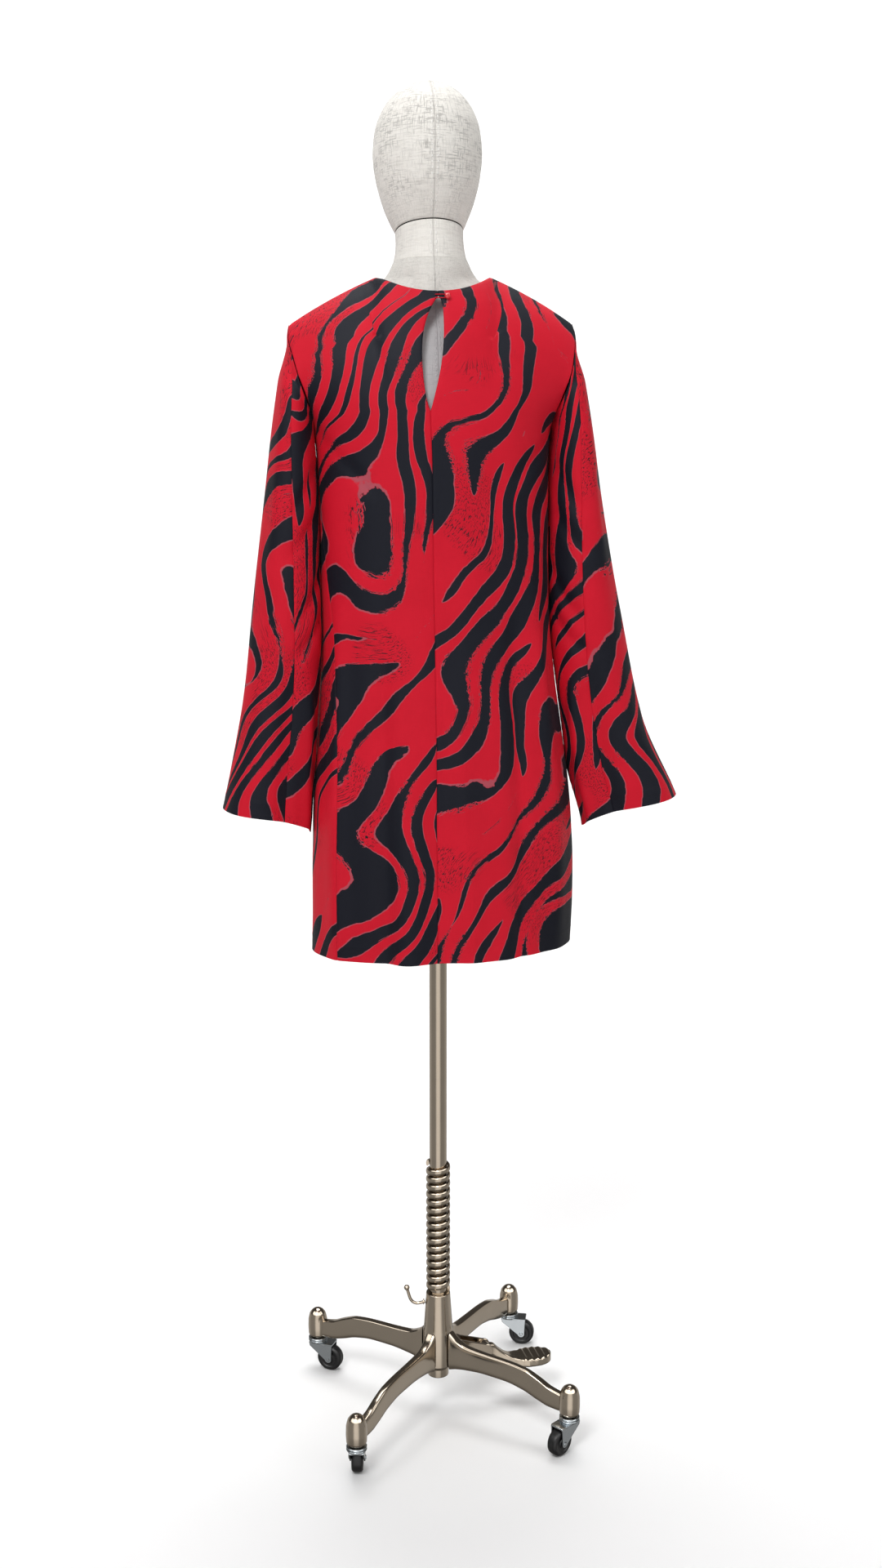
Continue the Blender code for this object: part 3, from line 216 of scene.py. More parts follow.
HEAD = [
    # height, half width, half depth, middle y
    (1.6225, 0.0434, 0.0495, 0.0105),
    (1.634, 0.049, 0.061, 0.014),
    (1.655, 0.058, 0.075, 0.0175),
    (1.685, 0.066, 0.088, 0.02),
    (1.713, 0.069, 0.0935, 0.0205),
    (1.74, 0.0665, 0.0905, 0.02),
    (1.764, 0.058, 0.079, 0.019),
    (1.782, 0.0445, 0.061, 0.018),
    (1.793, 0.029, 0.04, 0.0175),
    (1.7985, 0.014, 0.02, 0.017),
]
HEAD_TOP_Z = 1.8
NECK_CUT_RISE = 0.2                # the cut between neck and head rises towards the back

# ---------------------------------------------------------------- pole, spring and hub
STAND_X = -0.019                   # the pole stands a little to one side of the middle of the whole object
POLE_RADIUS = 0.012
COLUMN_RADIUS = 0.0095
POLE_FLANGE_RADIUS, POLE_FLANGE = 0.045, 0.004
HUB_TOP_Z, HUB_SOCKET_Z, HUB_BORE_Z, HUB_BOTTOM_Z = 0.1765, 0.1, 0.066, 0.05
HUB_TOP_RADIUS, HUB_WAIST_RADIUS, HUB_FOOT_RADIUS, HUB_BOSS_RADIUS = 0.017, 0.0205, 0.0215, 0.015
HUB_WAIST_Z, HUB_FOOT_Z = 0.124, 0.068
RUNNING_GAP = 0.00045               # between round pieces that slide or turn in each other
SPRING_TURNS, SPRING_PITCH = 16.5, 0.01145
SPRING_MIDDLE_RADIUS, SPRING_WIRE_R, SPRING_WIRE_Z = 0.0149, 0.0021, 0.0043

# ---------------------------------------------------------------- legs and casters
LEG_COUNT = 4
FIRST_LEG_ANGLE = math.radians(-31.0)
STEM_RING_RADIUS = 0.21            # from the pole to each caster's stem
LEG = [
    # distance from the pole, top height, bottom height, width
    (0.0219, 0.12, 0.064, 0.0158),
    (0.032, 0.111, 0.067, 0.0148),
    (0.048, 0.1045, 0.07, 0.014),
    (0.078, 0.1025, 0.0725, 0.0128),
    (0.11, 0.1015, 0.072, 0.0122),
    (0.14, 0.0985, 0.067, 0.0122),
    (0.163, 0.0905, 0.059, 0.0126),
    (0.18, 0.0825, 0.0545, 0.013),
    (0.2, 0.0775, 0.053, 0.013),
]
CAP = [
    # radius, height
    (0.0122, 0.052),
    (0.0138, 0.0545),
    (0.0143, 0.066),
    (0.0139, 0.078),
    (0.0118, 0.0868),
    (0.0078, 0.0918),
    (0.0036, 0.094),
]
CAP_TOP_Z = 0.0946
STEM_RADIUS, STEM_TOP_Z = 0.0045, 0.069
CAP_SOCKET_RADIUS, CAP_SOCKET_Z = 0.005, 0.07
RACEWAY_RADIUS, RACEWAY_BOTTOM_Z, RACEWAY_TOP_Z = 0.014, 0.043, 0.0497
CASTER_TRAIL = 0.02
FORK_WIDTH, FORK_PLATE = 0.0212, 0.0018
CROWN_BOTTOM_Z = 0.0402
FORK_FRONT_X, FORK_REAR_X = -0.0105, 0.0265
FORK_END_RADIUS = 0.0052
AXLE_RADIUS, AXLE_LENGTH = 0.003, 0.024
WHEEL_RADIUS, WHEEL_WIDTH, WHEEL_BORE = 0.019, 0.016, 0.0035
CASTER_HEADINGS = [-135.0, -8.0, -20.0, 90.0]      # degrees: the way each wheel trails its stem

# ---------------------------------------------------------------- hook and pedal
HOOK_WIRE, HOOK_BALL = 0.0022, 0.004
HOOK_ANGLE = math.radians(178.0)
HOOK_PATH = [
    # distance from the pole, height
    (0.0187, 0.1605),
    (0.024, 0.159),
    (0.03, 0.1575),
    (0.0358, 0.1592),
    (0.0396, 0.164),
    (0.0418, 0.171),
    (0.044, 0.179),
]
PEDAL_ANGLE = math.radians(14.0)
PEDAL_PIVOT_R, PEDAL_PIVOT_Z = 0.068, 0.08
PEDAL_BARREL_RADIUS, PEDAL_BARREL_WIDTH, PEDAL_BORE = 0.0095, 0.0112, 0.0048
PEDAL_PIN_RADIUS = 0.0043
CHEEK_THICKNESS, CHEEK_RADIUS, CHEEK_GAP = 0.004, 0.0105, 0.012
PEDAL_ARM = [
    # distance from the pole, top height, bottom height, width
    (0.069, 0.087, 0.0735, 0.0105),
    (0.08, 0.086, 0.069, 0.0105),
    (0.09, 0.077, 0.061, 0.012),
    (0.1, 0.069, 0.054, 0.015),
    (0.108, 0.065, 0.0515, 0.022),
    (0.116, 0.063, 0.0505, 0.03),
]
CHEEK_BOTTOM_Z, CHEEK_TOP_Z = 0.0745, 0.104
PAD_TOP_Z, PAD_BOTTOM_Z = 0.062, 0.05
PAD_START, PAD_END, PAD_WIDTH = 0.122, 0.168, 0.039
PAD_RIBS, RIB_HEIGHT = 5, 0.0012


def column_at(table, column, at):
    """Read a column of a table at values of its first column, along a smooth curve with no overshoot."""
    known = np.array([row[0] for row in table])
    values = np.array([row[column] for row in table])
    step = np.diff(known)
    slope = np.diff(values) / step
    tangent = np.concatenate([[slope[0]], np.zeros(len(slope) - 1), [slope[-1]]])
    before, after = slope[:-1], slope[1:]
    same_way = before * after > 0
    near, far = 2 * step[1:] + step[:-1], step[1:] + 2 * step[:-1]
    with np.errstate(divide="ignore", invalid="ignore"):
        mean = (near + far) / (near / before + far / after)
    tangent[1:-1] = np.where(same_way, mean, 0.0)
    at = np.clip(np.asarray(at, float), known[0], known[-1])
    row = np.clip(np.searchsorted(known, at, side="right") - 1, 0, len(step) - 1)
    part = (at - known[row]) / step[row]
    return (values[row] * (1 + 2 * part) * (1 - part) ** 2
            + values[row + 1] * part ** 2 * (3 - 2 * part)
            + step[row] * part * (1 - part) * (tangent[row] * (1 - part) - tangent[row + 1] * part))


def unit(vectors):
    return vectors / np.maximum(np.linalg.norm(vectors, axis=-1, keepdims=True), 1e-12)


def smooth_step(part):
    part = np.clip(part, 0.0, 1.0)
    return part * part * (3.0 - 2.0 * part)


def section_x(turn):
    """Share of the half width at an angle round from the side."""
    return np.cos(turn) ** (2.0 / SECTION_POWER)


def section_y(turn):
    """Share of the depth at an angle round from the side, with its sign."""
    return np.sign(turn) * np.abs(np.sin(turn)) ** (2.0 / SECTION_POWER)


NECK_TURN = math.acos((NECK_X / SHOULDER_X) ** (SECTION_POWER / 2.0))


def flute(points):
    """Push the skirt out and in by its soft flutes, which die out upwards."""
    x, y, z = points[..., 0], points[..., 1], points[..., 2]
    round_angle = np.arctan2(y, x)
    push = sum(depth * np.cos(waves * round_angle + start) for waves, depth, start in FLUTES)
    fade = smooth_step((FLUTE_TOP_Z - z) / (FLUTE_TOP_Z - HEM_Z)) ** 1.5
    scale = 1.0 + push * fade / np.hypot(x, y)
    return np.stack([x * scale, y * scale, z], axis=-1)


def armhole_level(part):
    """Level of a row above the underarm; the rows crowd together where the shoulder rounds over."""
    return 0.25 * part + 0.75 * np.sin(np.pi / 2 * part)


def body_low(turn, height):
    """Right half of the body below the underarm. turn: 0 at the side, + to the back, - to the front."""
    width = column_at(BODY, 1, height)
    depth = np.where(turn >= 0, column_at(BODY, 2, height), column_at(BODY, 3, height))
    return np.stack([width * section_x(turn), -depth * section_y(turn), height + 0 * turn], axis=-1)


def top_edge(turn, back):
    """Shoulder seam out of the neck point, and the neckline inside it: its y and height."""
    x = SHOULDER_X * section_x(turn)
    along = (SHOULDER_X - x) / (SHOULDER_X - NECK_X)
    seam_z = SHOULDER_Z + (NECK_Z - SHOULDER_Z) * (along + 0.22 * along * (1 - along))
    inside = np.clip(x / NECK_X, 0.0, 1.0)
    middle_y, middle_z = (BACK_NECK_Y, BACK_NECK_Z) if back else (FRONT_NECK_Y, FRONT_NECK_Z)
    neck_z = middle_z + (NECK_Z - middle_z) * inside ** 2.2
    neck_y = middle_y * np.sqrt(np.maximum(1.0 - inside ** 2, 0.0))
    at_neck = x < NECK_X - 1e-9
    return np.where(at_neck, neck_y, 0.0), np.where(at_neck, neck_z, seam_z)


def fullness_power(turn):
    """How square the yoke is between the underarm and the top edge: squarer in the middle."""
    return 0.5 + 0.2 * smooth_step((turn - 0.6) / (np.pi / 2 - 0.6))


def body_high(turn, level, back):
    """Right half of the body above the underarm. level: 0 at the underarm, 1 at the shoulder seam."""
    level = np.clip(level, 0.0, 1.0)
    edge_x = column_at(ARMHOLE, 1 if back else 2, level)
    depth = BODY[-1][2] if back else BODY[-1][3]
    way = -1.0 if back else 1.0
    turn = np.maximum(turn if back else -turn, 0.0)
    low_y = way * depth * section_y(turn)
    edge_y, edge_z = top_edge(turn, back)
    y = edge_y + (low_y - edge_y) * (1.0 - level ** 2) ** fullness_power(turn)
    reach = ARMHOLE_BACK_REACH if back else ARMHOLE_FRONT_REACH
    scoop = way * reach * np.sin(np.pi * level ** 0.85) * (1.0 - turn / (np.pi / 2)) ** 4
    # The columns fan out from the neckline, and each point keeps to the same surface as it moves out.
    beside = smooth_step((turn / NECK_TURN - 0.4) / 0.6)
    inside = np.clip((turn - NECK_TURN) / (np.pi / 2 - NECK_TURN), 0.0, 1.0)
    fan = NECK_FAN * np.sqrt(1.0 - level ** 2) * level ** 4 * beside * np.cos(np.pi / 2 * inside)
    x = edge_x * section_x(turn) + fan
    moved = np.arccos(np.clip(x / edge_x, 0.0, 1.0) ** (SECTION_POWER / 2.0))
    fanned = fan > 1e-9
    low_y = way * depth * section_y(moved)
    moved_y, moved_z = top_edge(moved, back)
    part = np.clip((y - moved_y) / np.where(fanned, low_y - moved_y, 1.0), 0.0, 1.0)
    moved_level = np.sqrt(1.0 - part ** (1.0 / fullness_power(moved)))
    level, edge_z = np.where(fanned, moved_level, level), np.where(fanned, moved_z, edge_z)
    return np.stack([x, y + scoop, UNDERARM_Z + level * (edge_z - UNDERARM_Z)], axis=-1)


def keyhole_half_width(height, right):
    """Half opening of the keyhole: a drop, fuller above its middle."""
    part = np.clip((height - KEYHOLE_BOTTOM_Z) / (KEYHOLE_TOP_Z - KEYHOLE_BOTTOM_Z), 0.0, 1.0)
    return (KEYHOLE_RIGHT if right else KEYHOLE_LEFT) * np.abs(np.sin(np.pi * part ** 1.3)) ** 0.6


def body_surface(turn, storey, back, side):
    """A point of the body: storey 0 to 1 from hem to underarm, 1 to 2 from underarm to shoulder."""
    turn, storey = np.broadcast_arrays(np.asarray(turn, float), np.asarray(storey, float))
    low = body_low(turn, HEM_Z + (UNDERARM_Z - HEM_Z) * np.clip(storey, 0, 1))
    high = body_high(turn, armhole_level(np.clip(storey - 1, 0, 1)), back)
    points = np.where((storey <= 1)[..., None], low, high)
    if back:
        spread = keyhole_half_width(points[..., 2], side == "right")
        inside = np.clip((turn - NECK_TURN) / (np.pi / 2 - NECK_TURN), 0, 1)
        points[..., 0] += spread * inside ** 1.3
    if side == "left":
        points = points * np.array([-1.0, 1.0, 1.0])
    points = flute(points)
    drift = column_at(DRIFT, 1, points[..., 2])
    if back:
        drift = drift + column_at(MIDDLE_BACK, 1, points[..., 2]) * smooth_step((turn - 1.0) / (np.pi / 2 - 1.0))
    points[..., 0] += drift
    return points


def sleeve_surface(turn, drop, side):
    """A point of a sleeve. turn: 0 at the underarm, a quarter at the back; drop: 0 armhole, 1 cuff."""
    turn, drop = np.broadcast_arrays(np.asarray(turn, float), np.asarray(drop, float))
    level = armhole_level(1.0 - np.abs(turn / np.pi - 1.0))
    back_edge = body_high(0.0 * turn, level, True)
    front_edge = body_high(0.0 * turn, level, False)
    edge = np.where((turn <= np.pi)[..., None], back_edge, front_edge)
    # The sleeve starts just outside the armhole edge, by more where the two walls lie side by side.
    edge[..., 0] += ARMHOLE_STEP + (CLOTH + SEAM_GAP - ARMHOLE_STEP) * np.sqrt(1.0 - level ** 2)
    swing, flare, cuff_inner_z, cuff_outer_z = SLEEVE_SIDES[side]
    outer = (1.0 - np.cos(turn)) / 2.0
    cuff_z = cuff_inner_z + (cuff_outer_z - cuff_inner_z) * outer
    height = edge[..., 2] + drop * (cuff_z - edge[..., 2])
    inner_x, outer_x = column_at(SLEEVE, 1, height), column_at(SLEEVE, 2, height)
    lower = smooth_step((1.35 - height) / 0.35)
    flared = flare * smooth_step((1.00 - height) / 0.13)
    outer_x = inner_x + (outer_x - inner_x) * (1.0 + (swing - 1.0) * lower) + flared
    inner_x = inner_x + 0.6 * flare * smooth_step((0.94 - height) / 0.09)
    half_x, half_y = (outer_x - inner_x) / 2, column_at(SLEEVE, 3, height)
    eased = turn - column_at(SLEEVE, 5, height) * np.sin(turn)
    waves = CUFF_FLUTE_DEPTH * np.cos(CUFF_FLUTES * eased + 0.5) * smooth_step((1.02 - height) / 0.16)
    tube_x = (inner_x + outer_x) / 2 - (half_x + waves) * np.cos(eased)
    tube_y = column_at(SLEEVE, 4, height) - (half_y + waves) * np.sin(eased)
    freed = smooth_step((edge[..., 2] - height) / (0.035 + 0.035 * outer))
    x = edge[..., 0] + (tube_x - edge[..., 0]) * freed
    y = edge[..., 1] + (tube_y - edge[..., 1]) * freed
    x = (-x if side == "left" else x) + column_at(DRIFT, 1, height)
    return np.stack([x, y, height], axis=-1)


def seam_angles(side, rows):
    """Angle of a side seam at each row, in radians round to the back."""
    heights = HEM_Z + (UNDERARM_Z - HEM_Z) * np.clip(rows, 0, 1)
    return np.radians(column_at(SIDE_SEAMS, 1 if side == "left" else 2, heights))


def back_at(x, height):
    """How far back the outside of the dress lies at a place near the middle of its back."""
    side = "right" if x >= 0 else "left"
    turns, levels = np.meshgrid(np.linspace(NECK_TURN, np.pi / 2, 60), np.linspace(1.6, 1.999, 80))
    points = body_surface(turns, levels, True, side)
    off = np.hypot(points[..., 0] - x, points[..., 2] - height)
    nearest = np.unravel_index(np.argmin(off), off.shape)
    return points[nearest][1] - CLOTH * 0.5


# ================================================================ meshes
STAND = Matrix.Translation((STAND_X, 0, 0))
ACROSS = Matrix.Rotation(math.pi / 2, 4, "X")
POSE = (Matrix.Translation((STAND_X, 0, FORM_PIVOT_Z)) @ Matrix.Rotation(FORM_YAW, 4, "Z")
        @ Matrix.Rotation(FORM_LEAN, 4, "Y") @ Matrix.Translation((0, 0, -FORM_PIVOT_Z)))
CLOSING_RING = 0.002       # radius of the small ring that closes the end of a turned piece
FORM_SHARP, STAND_SHARP = math.radians(50), math.radians(38)        # edges sharper than this stay hard


def moved(points, matrix):
    """Points carried by a matrix."""
    matrix = np.array(matrix)
    return np.asarray(points, float) @ matrix[:3, :3].T + matrix[:3, 3]


def round_angles(count):
    return 2 * np.pi * np.arange(count) / count


def squared_off(wave, power):
    """A cosine or sine at a power below one, with its sign, which squares the round it draws."""
    return np.sign(wave) * np.abs(wave) ** (2 / power)


def blend(first, second, share):
    return first + share * (second - first)


def grid_quads(rows, columns, wrap=False):
    """Quads between neighbours of a grid, and the grid place of each corner; a wrapped grid closes sideways."""
    row, column = np.meshgrid(np.arange(rows - 1), np.arange(columns if wrap else columns - 1), indexing="ij")
    row, column = row.ravel(), column.ravel()
    places = np.stack([np.stack([row + down, column + right], 1)
                       for down, right in ((0, 0), (0, 1), (1, 1), (1, 0))], 1)
    return places[..., 0] * columns + places[..., 1] % columns, places


def grid_normals(points):
    """Normals of a grid of points: its step sideways crossed with its step upwards."""
    return unit(np.cross(np.gradient(points, axis=1), np.gradient(points, axis=0)))


def running_length(points, axis):
    """Length walked along one axis of a grid of points up to each of them."""
    steps = np.linalg.norm(np.diff(points, axis=axis), axis=-1)
    start = np.zeros_like(np.take(steps, [0], axis=axis))
    return np.concatenate([start, np.cumsum(steps, axis=axis)], axis=axis)


def put_mesh(name, points, faces, materials, uv=None, slots=None):
    """One smooth object at the origin, with its corner coordinates and the material of each face."""
    mesh = bpy.data.meshes.new(name)
    mesh.from_pydata(np.asarray(points, float).tolist(), [], [list(map(int, face)) for face in faces])
    for material in materials:
        mesh.materials.append(material)
    if slots is not None:
        mesh.polygons.foreach_set("material_index", np.asarray(slots, np.int32))
    if uv is not None:
        mesh.uv_layers.new(name="UVMap").data.foreach_set("uv", np.asarray(uv, np.float32).ravel())
    mesh.shade_smooth()
    mesh.update()
    piece = bpy.data.objects.new(name, mesh)
    bpy.context.scene.collection.objects.link(piece)
    return piece


def settle(piece, body, slot, *nodes):
    """Attach a piece to what it rides on and hide the solids it stands for; the slot, its finish's name, is not used.
    """
    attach(piece, body)
    if nodes:
        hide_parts(*nodes)


# ================================================================ cloth
FABRIC = 0.0007             # thickness of the real cloth
HEM_DEPTH = 0.02           # how far the hems are turned up
HEM_EXTRA = 0.0006          # and how much thicker the cloth is there
HEM_RIDGE = 0.00025         # the ridge that the hem's upper edge presses through
EDGE_ROLL = 0.0005          # how far the upper edge of a piece rolls inwards
FOLD_STRENGTH = 1.6         # what the depths in the tables of folds are taken times
SEAM_DIP = 0.0006
PUCKER, PUCKER_LENGTH, PUCKER_REACH = 0.00022, 0.013, 0.009
SEAM_STEPS = np.array([0.0012, 0.0026, 0.0042])                     # extra columns beside a seam
HEM_STEPS = np.array([0.0006, 0.0020, 0.018, 0.020, 0.022])         # extra rows at a turned hem
BODY_COLUMNS, SKIRT_ROWS, YOKE_ROWS = 42, 112, 36
SLEEVE_COLUMNS, SLEEVE_ROWS = 72, 96
QUARTER_WIDTH, SKIRT_LENGTH, SLEEVE_LENGTH = 0.21, 0.688, 0.55      # rough sizes that space those extra rows
SLEEVE_SHARE_WIDTH = 0.022
BODY_RADIUS, SLEEVE_RADIUS = 0.145, 0.052       # about which the folds' angles are measured
CALM_Z, CALM_FADE, CALM_EDGE = 1.47, 0.1, 0.05     # the cloth lies smooth on the shoulders and at its upper edge

# Where sleeve and body hang side by side, each swells a little towards the other.
SWELL = {"body": 0.0009, "sleeve": 0.0011}
SLIT = {
    # y of the line where a sleeve comes closest to the body, extra swell along it above and below
    "left": (-0.022, 0.0007, 0.0020),
    "right": (-0.016, 0.0, 0.0008),
}

# Soft folds of the body: angle in degrees round from the middle of the back, and height, of both ends.
BODY_FOLDS = [
    # from angle, from height, to angle, to height, half width, depth
    (-30.0, 1.44, -42.0, 1.0, 0.02, -0.0016),
    (36.0, 1.43, 40.0, 1.02, 0.022, -0.0014),
    (-12.0, 1.38, -16.0, 0.9, 0.016, 0.001),
    (14.0, 1.39, 20.0, 0.86, 0.017, 0.001),
    (48.0, 1.12, 44.0, 0.68, 0.014, -0.0058),
    (62.0, 1.16, 66.0, 0.68, 0.015, 0.0044),
    (-40.0, 1.06, -36.0, 0.68, 0.013, -0.0026),
    (-66.0, 1.12, -62.0, 0.68, 0.014, 0.0044),
    (-78.0, 1.37, -44.0, 1.3, 0.009, -0.0016),
    (80.0, 1.372, 50.0, 1.31, 0.009, -0.0016),
    (84.0, 1.34, 58.0, 1.25, 0.01, -0.0014),
    (8.0, 1.02, 16.0, 0.69, 0.016, 0.0034),
    (120.0, 1.36, 138.0, 1.24, 0.01, -0.0018),
    (-120.0, 1.36, -138.0, 1.24, 0.01, -0.0018),
    (150.0, 1.26, 158.0, 0.7, 0.018, 0.003),
    (-152.0, 1.26, -160.0, 0.7, 0.018, 0.0028),
    (172.0, 1.18, 174.0, 0.69, 0.016, -0.003),
    (-172.0, 1.1, -176.0, 0.69, 0.016, -0.0024),
    (108.0, 1.25, 112.0, 0.69, 0.016, -0.003),
    (-110.0, 1.25, -114.0, 0.69, 0.016, -0.003),
]

# Soft folds of a sleeve: angle round from the underarm by way of the back, as above.
SLEEVE_FOLDS = [
    (30.0, 1.33, 100.0, 1.27, 0.01, -0.002),
    (36.0, 1.27, 110.0, 1.215, 0.009, -0.0018),
    (20.0, 1.2, 96.0, 1.13, 0.01, -0.0026),
    (28.0, 1.14, 104.0, 1.085, 0.009, -0.0024),
    (330.0, 1.22, 262.0, 1.15, 0.01, -0.0026),
    (334.0, 1.15, 268.0, 1.095, 0.01, -0.0022),
    (120.0, 1.42, 140.0, 1.2, 0.014, 0.0014),
    (150.0, 1.3, 160.0, 1.02, 0.014, -0.0014),
    (70.0, 1.04, 60.0, 0.85, 0.012, 0.0036),
    (105.0, 1.06, 102.0, 0.85, 0.011, -0.0034),
    (140.0, 1.02, 146.0, 0.86, 0.012, 0.0024),
    (230.0, 1.02, 224.0, 0.86, 0.012, -0.0034),
    (280.0, 1.0, 284.0, 0.85, 0.012, 0.0024),
]

# Where each piece is cut from the printed cloth: metres across and along.
CUT_PLACES = {
    "front": (0.40, 0.10),
    "back_left": (1.60, 0.35),
    "back_right": (2.15, 0.80),
    "sleeve_top_left": (3.62, 0.95),
    "sleeve_under_left": (4.05, 1.50),
    "sleeve_top_right": (4.50, 0.30),
    "sleeve_under_right": (5.20, 0.70),
}


def bell(off, half):
    return np.exp(-(off / half) ** 2)


def fold_push(angle, height, radius, table):
    """How far folds push the cloth out: a bell curve across each fold's line, faded towards both its ends."""
    push = np.zeros_like(height)
    for start, high, end, low, half, depth in table:
        line_x, line_z = math.radians(end - start) * radius, low - high
        length = np.hypot(line_x, line_z)
        off_x = np.radians(np.mod(angle - start + 180.0, 360.0) - 180.0) * radius
        off_z = height - high
        along = (off_x * line_x + off_z * line_z) / length ** 2
        across = (off_x * line_z - off_z * line_x) / length
        fade = smooth_step((along + 0.18) / 0.36) * smooth_step((1.18 - along) / 0.36)
        push = push + depth * fade * bell(across, half)
    return push


def with_seam_steps(parts, both, size):
    """Places across a panel, with extra ones close to its first edge, or to both where both are sewn."""
    steps = SEAM_STEPS / size
    return np.unique(np.concatenate([parts, steps] + ([1.0 - steps] if both else [])))


def body_half_grid(side, back):
    """Middle of the cloth of a quarter of the body, from the side seam to the centre, hem to shoulder."""
    quarter = np.pi / 2
    neck_at = NECK_TURN / quarter
    parts = np.unique(np.concatenate([np.linspace(0, neck_at, int(BODY_COLUMNS * neck_at) + 1),
                                      np.linspace(neck_at, 1, int(BODY_COLUMNS * (1 - neck_at)) + 1)]))
    parts = with_seam_steps(parts, back, QUARTER_WIDTH)
    low = np.unique(np.concatenate([np.linspace(0, 1, SKIRT_ROWS + 1), HEM_STEPS / SKIRT_LENGTH]))
    high = np.unique(np.concatenate([np.linspace(0, 1, YOKE_ROWS + 1), [0.986, 0.994]]))
    rows = np.concatenate([low, 1 + high[1:]])
    seam = seam_angles(side, rows)
    centre = quarter if back else -quarter
    turns = seam[:, None] + (centre - seam[:, None]) * parts[None, :]
    turns = np.clip(turns, -quarter + 1e-6, quarter - 1e-6)
    return body_surface(turns, np.repeat(rows[:, None], len(parts), axis=1), back, side)


def body_panel(name):
    """Grid of one body panel, anticlockwise seen from above, and where its middle column is."""
    if name == "front":
        right, left = body_half_grid("right", False), body_half_grid("left", False)
        return np.concatenate([right, left[:, -2::-1]], axis=1), right.shape[1] - 1
    if name == "back_left":
        grid = body_half_grid("left", True)
        return grid, grid.shape[1] - 1
    return body_half_grid("right", True)[:, ::-1], 0


def sleeve_panel(name, side):
    """Grid of one piece of a sleeve, anticlockwise seen from above, and the angle of each column."""
    start, end = BACK_SLEEVE_SEAM, FRONT_SLEEVE_SEAM
    if "under" in name:
        start, end = FRONT_SLEEVE_SEAM, BACK_SLEEVE_SEAM + SLEEVE_SIDES_COUNT
    count = int(SLEEVE_COLUMNS * (end - start) / SLEEVE_SIDES_COUNT)
    parts = with_seam_steps(np.linspace(0, 1, count + 1), True, SLEEVE_SHARE_WIDTH * (end - start))
    turns = np.mod(start + (end - start) * parts, SLEEVE_SIDES_COUNT) * 2 * np.pi / SLEEVE_SIDES_COUNT
    drops = np.unique(np.concatenate([np.linspace(0, 1, SLEEVE_ROWS + 1), [0.003, 0.007],
                                      1 - HEM_STEPS / SLEEVE_LENGTH]))
    turn, drop = np.meshgrid(turns, drops[::-1])
    grid = sleeve_surface(turn, drop, side)
    if side == "left":
        grid, turn = grid[:, ::-1], turn[:, ::-1]
    return grid, np.degrees(turn)


def seam_dip(points):
    """The cloth dips by half a millimetre into the seams on both sides and puckers beside them."""
    run, height = running_length(points, 1), running_length(points, 0)
    pucker = PUCKER * np.sin(height * 2 * np.pi / PUCKER_LENGTH + 2.0 * np.sin(height * 31.0))
    push = np.zeros(points.shape[:2])
    for away in (run, run[:, -1:] - run):
        push += pucker * bell(away, PUCKER_REACH) - SEAM_DIP * bell(away, 0.0020)
    return push


def neighbour_push(points, normals, side, sleeve):
    """How far the cloth swells where a sleeve and the body hang side by side."""
    height = points[..., 2]
    facing = normals[..., 0] * (-1 if side == "right" else 1) if sleeve else np.abs(normals[..., 0])
    beside = smooth_step((1.42 - height) / 0.03) * smooth_step((height - 0.84) / 0.04)
    push = SWELL["sleeve" if sleeve else "body"] * smooth_step((facing - 0.70) / 0.30) * beside
    if sleeve:
        line_y, above, below = SLIT[side]
        above = above * smooth_step((1.425 - height) / 0.03) * smooth_step((height - 1.20) / 0.06)
        below = below * smooth_step((1.01 - height) / 0.06)
        push += (above + below) * smooth_step((facing - 0.35) / 0.4) * bell(points[..., 1] - line_y, 0.012)
    return push


def cloth_wall(name, points, normals, push, extra, uv, materials):
    """Thin closed wall on both sides of a pushed grid; extra thickens its inside where the cloth is turned."""
    rows, columns = points.shape[:2]
    outer = points + normals * (push + FABRIC / 2)[..., None]
    inner = points + normals * (push - FABRIC / 2 - extra)[..., None]
    quads = grid_quads(rows, columns)[0]
    count = rows * columns
    places = np.arange(count).reshape(rows, columns)
    here = np.concatenate([places[0, :-1], places[:-1, -1], places[-1, :0:-1], places[:0:-1, 0]])
    there = np.roll(here, -1)
    rim = np.stack([here, here + count, there + count, there], 1)
    faces = np.concatenate([quads, quads[:, ::-1] + count, rim])
    slots = np.concatenate([np.zeros(len(quads)), np.ones(len(quads)), np.zeros(len(rim))])
    both = moved(np.concatenate([outer.reshape(-1, 3), inner.reshape(-1, 3)]), POSE)
    return put_mesh(name, both, faces, materials, uv.reshape(-1, 2)[faces % count], slots)


def sheet_size(points):
    """Widest row, longest column and area of a grid of cloth, in metres."""
    width = running_length(points, 1)[:, -1].max()
    length = running_length(points, 0)[-1].max()
    start, across, up, far = points[:-1, :-1], points[:-1, 1:], points[1:, :-1], points[1:, 1:]
    halves = [np.cross(one - start, other - start) for one, other in ((across, far), (far, up))]
    area = sum(np.linalg.norm(half, axis=-1).sum() for half in halves) / 2
    return (round(float(width), 3), round(float(length), 3)), round(float(area), 4)


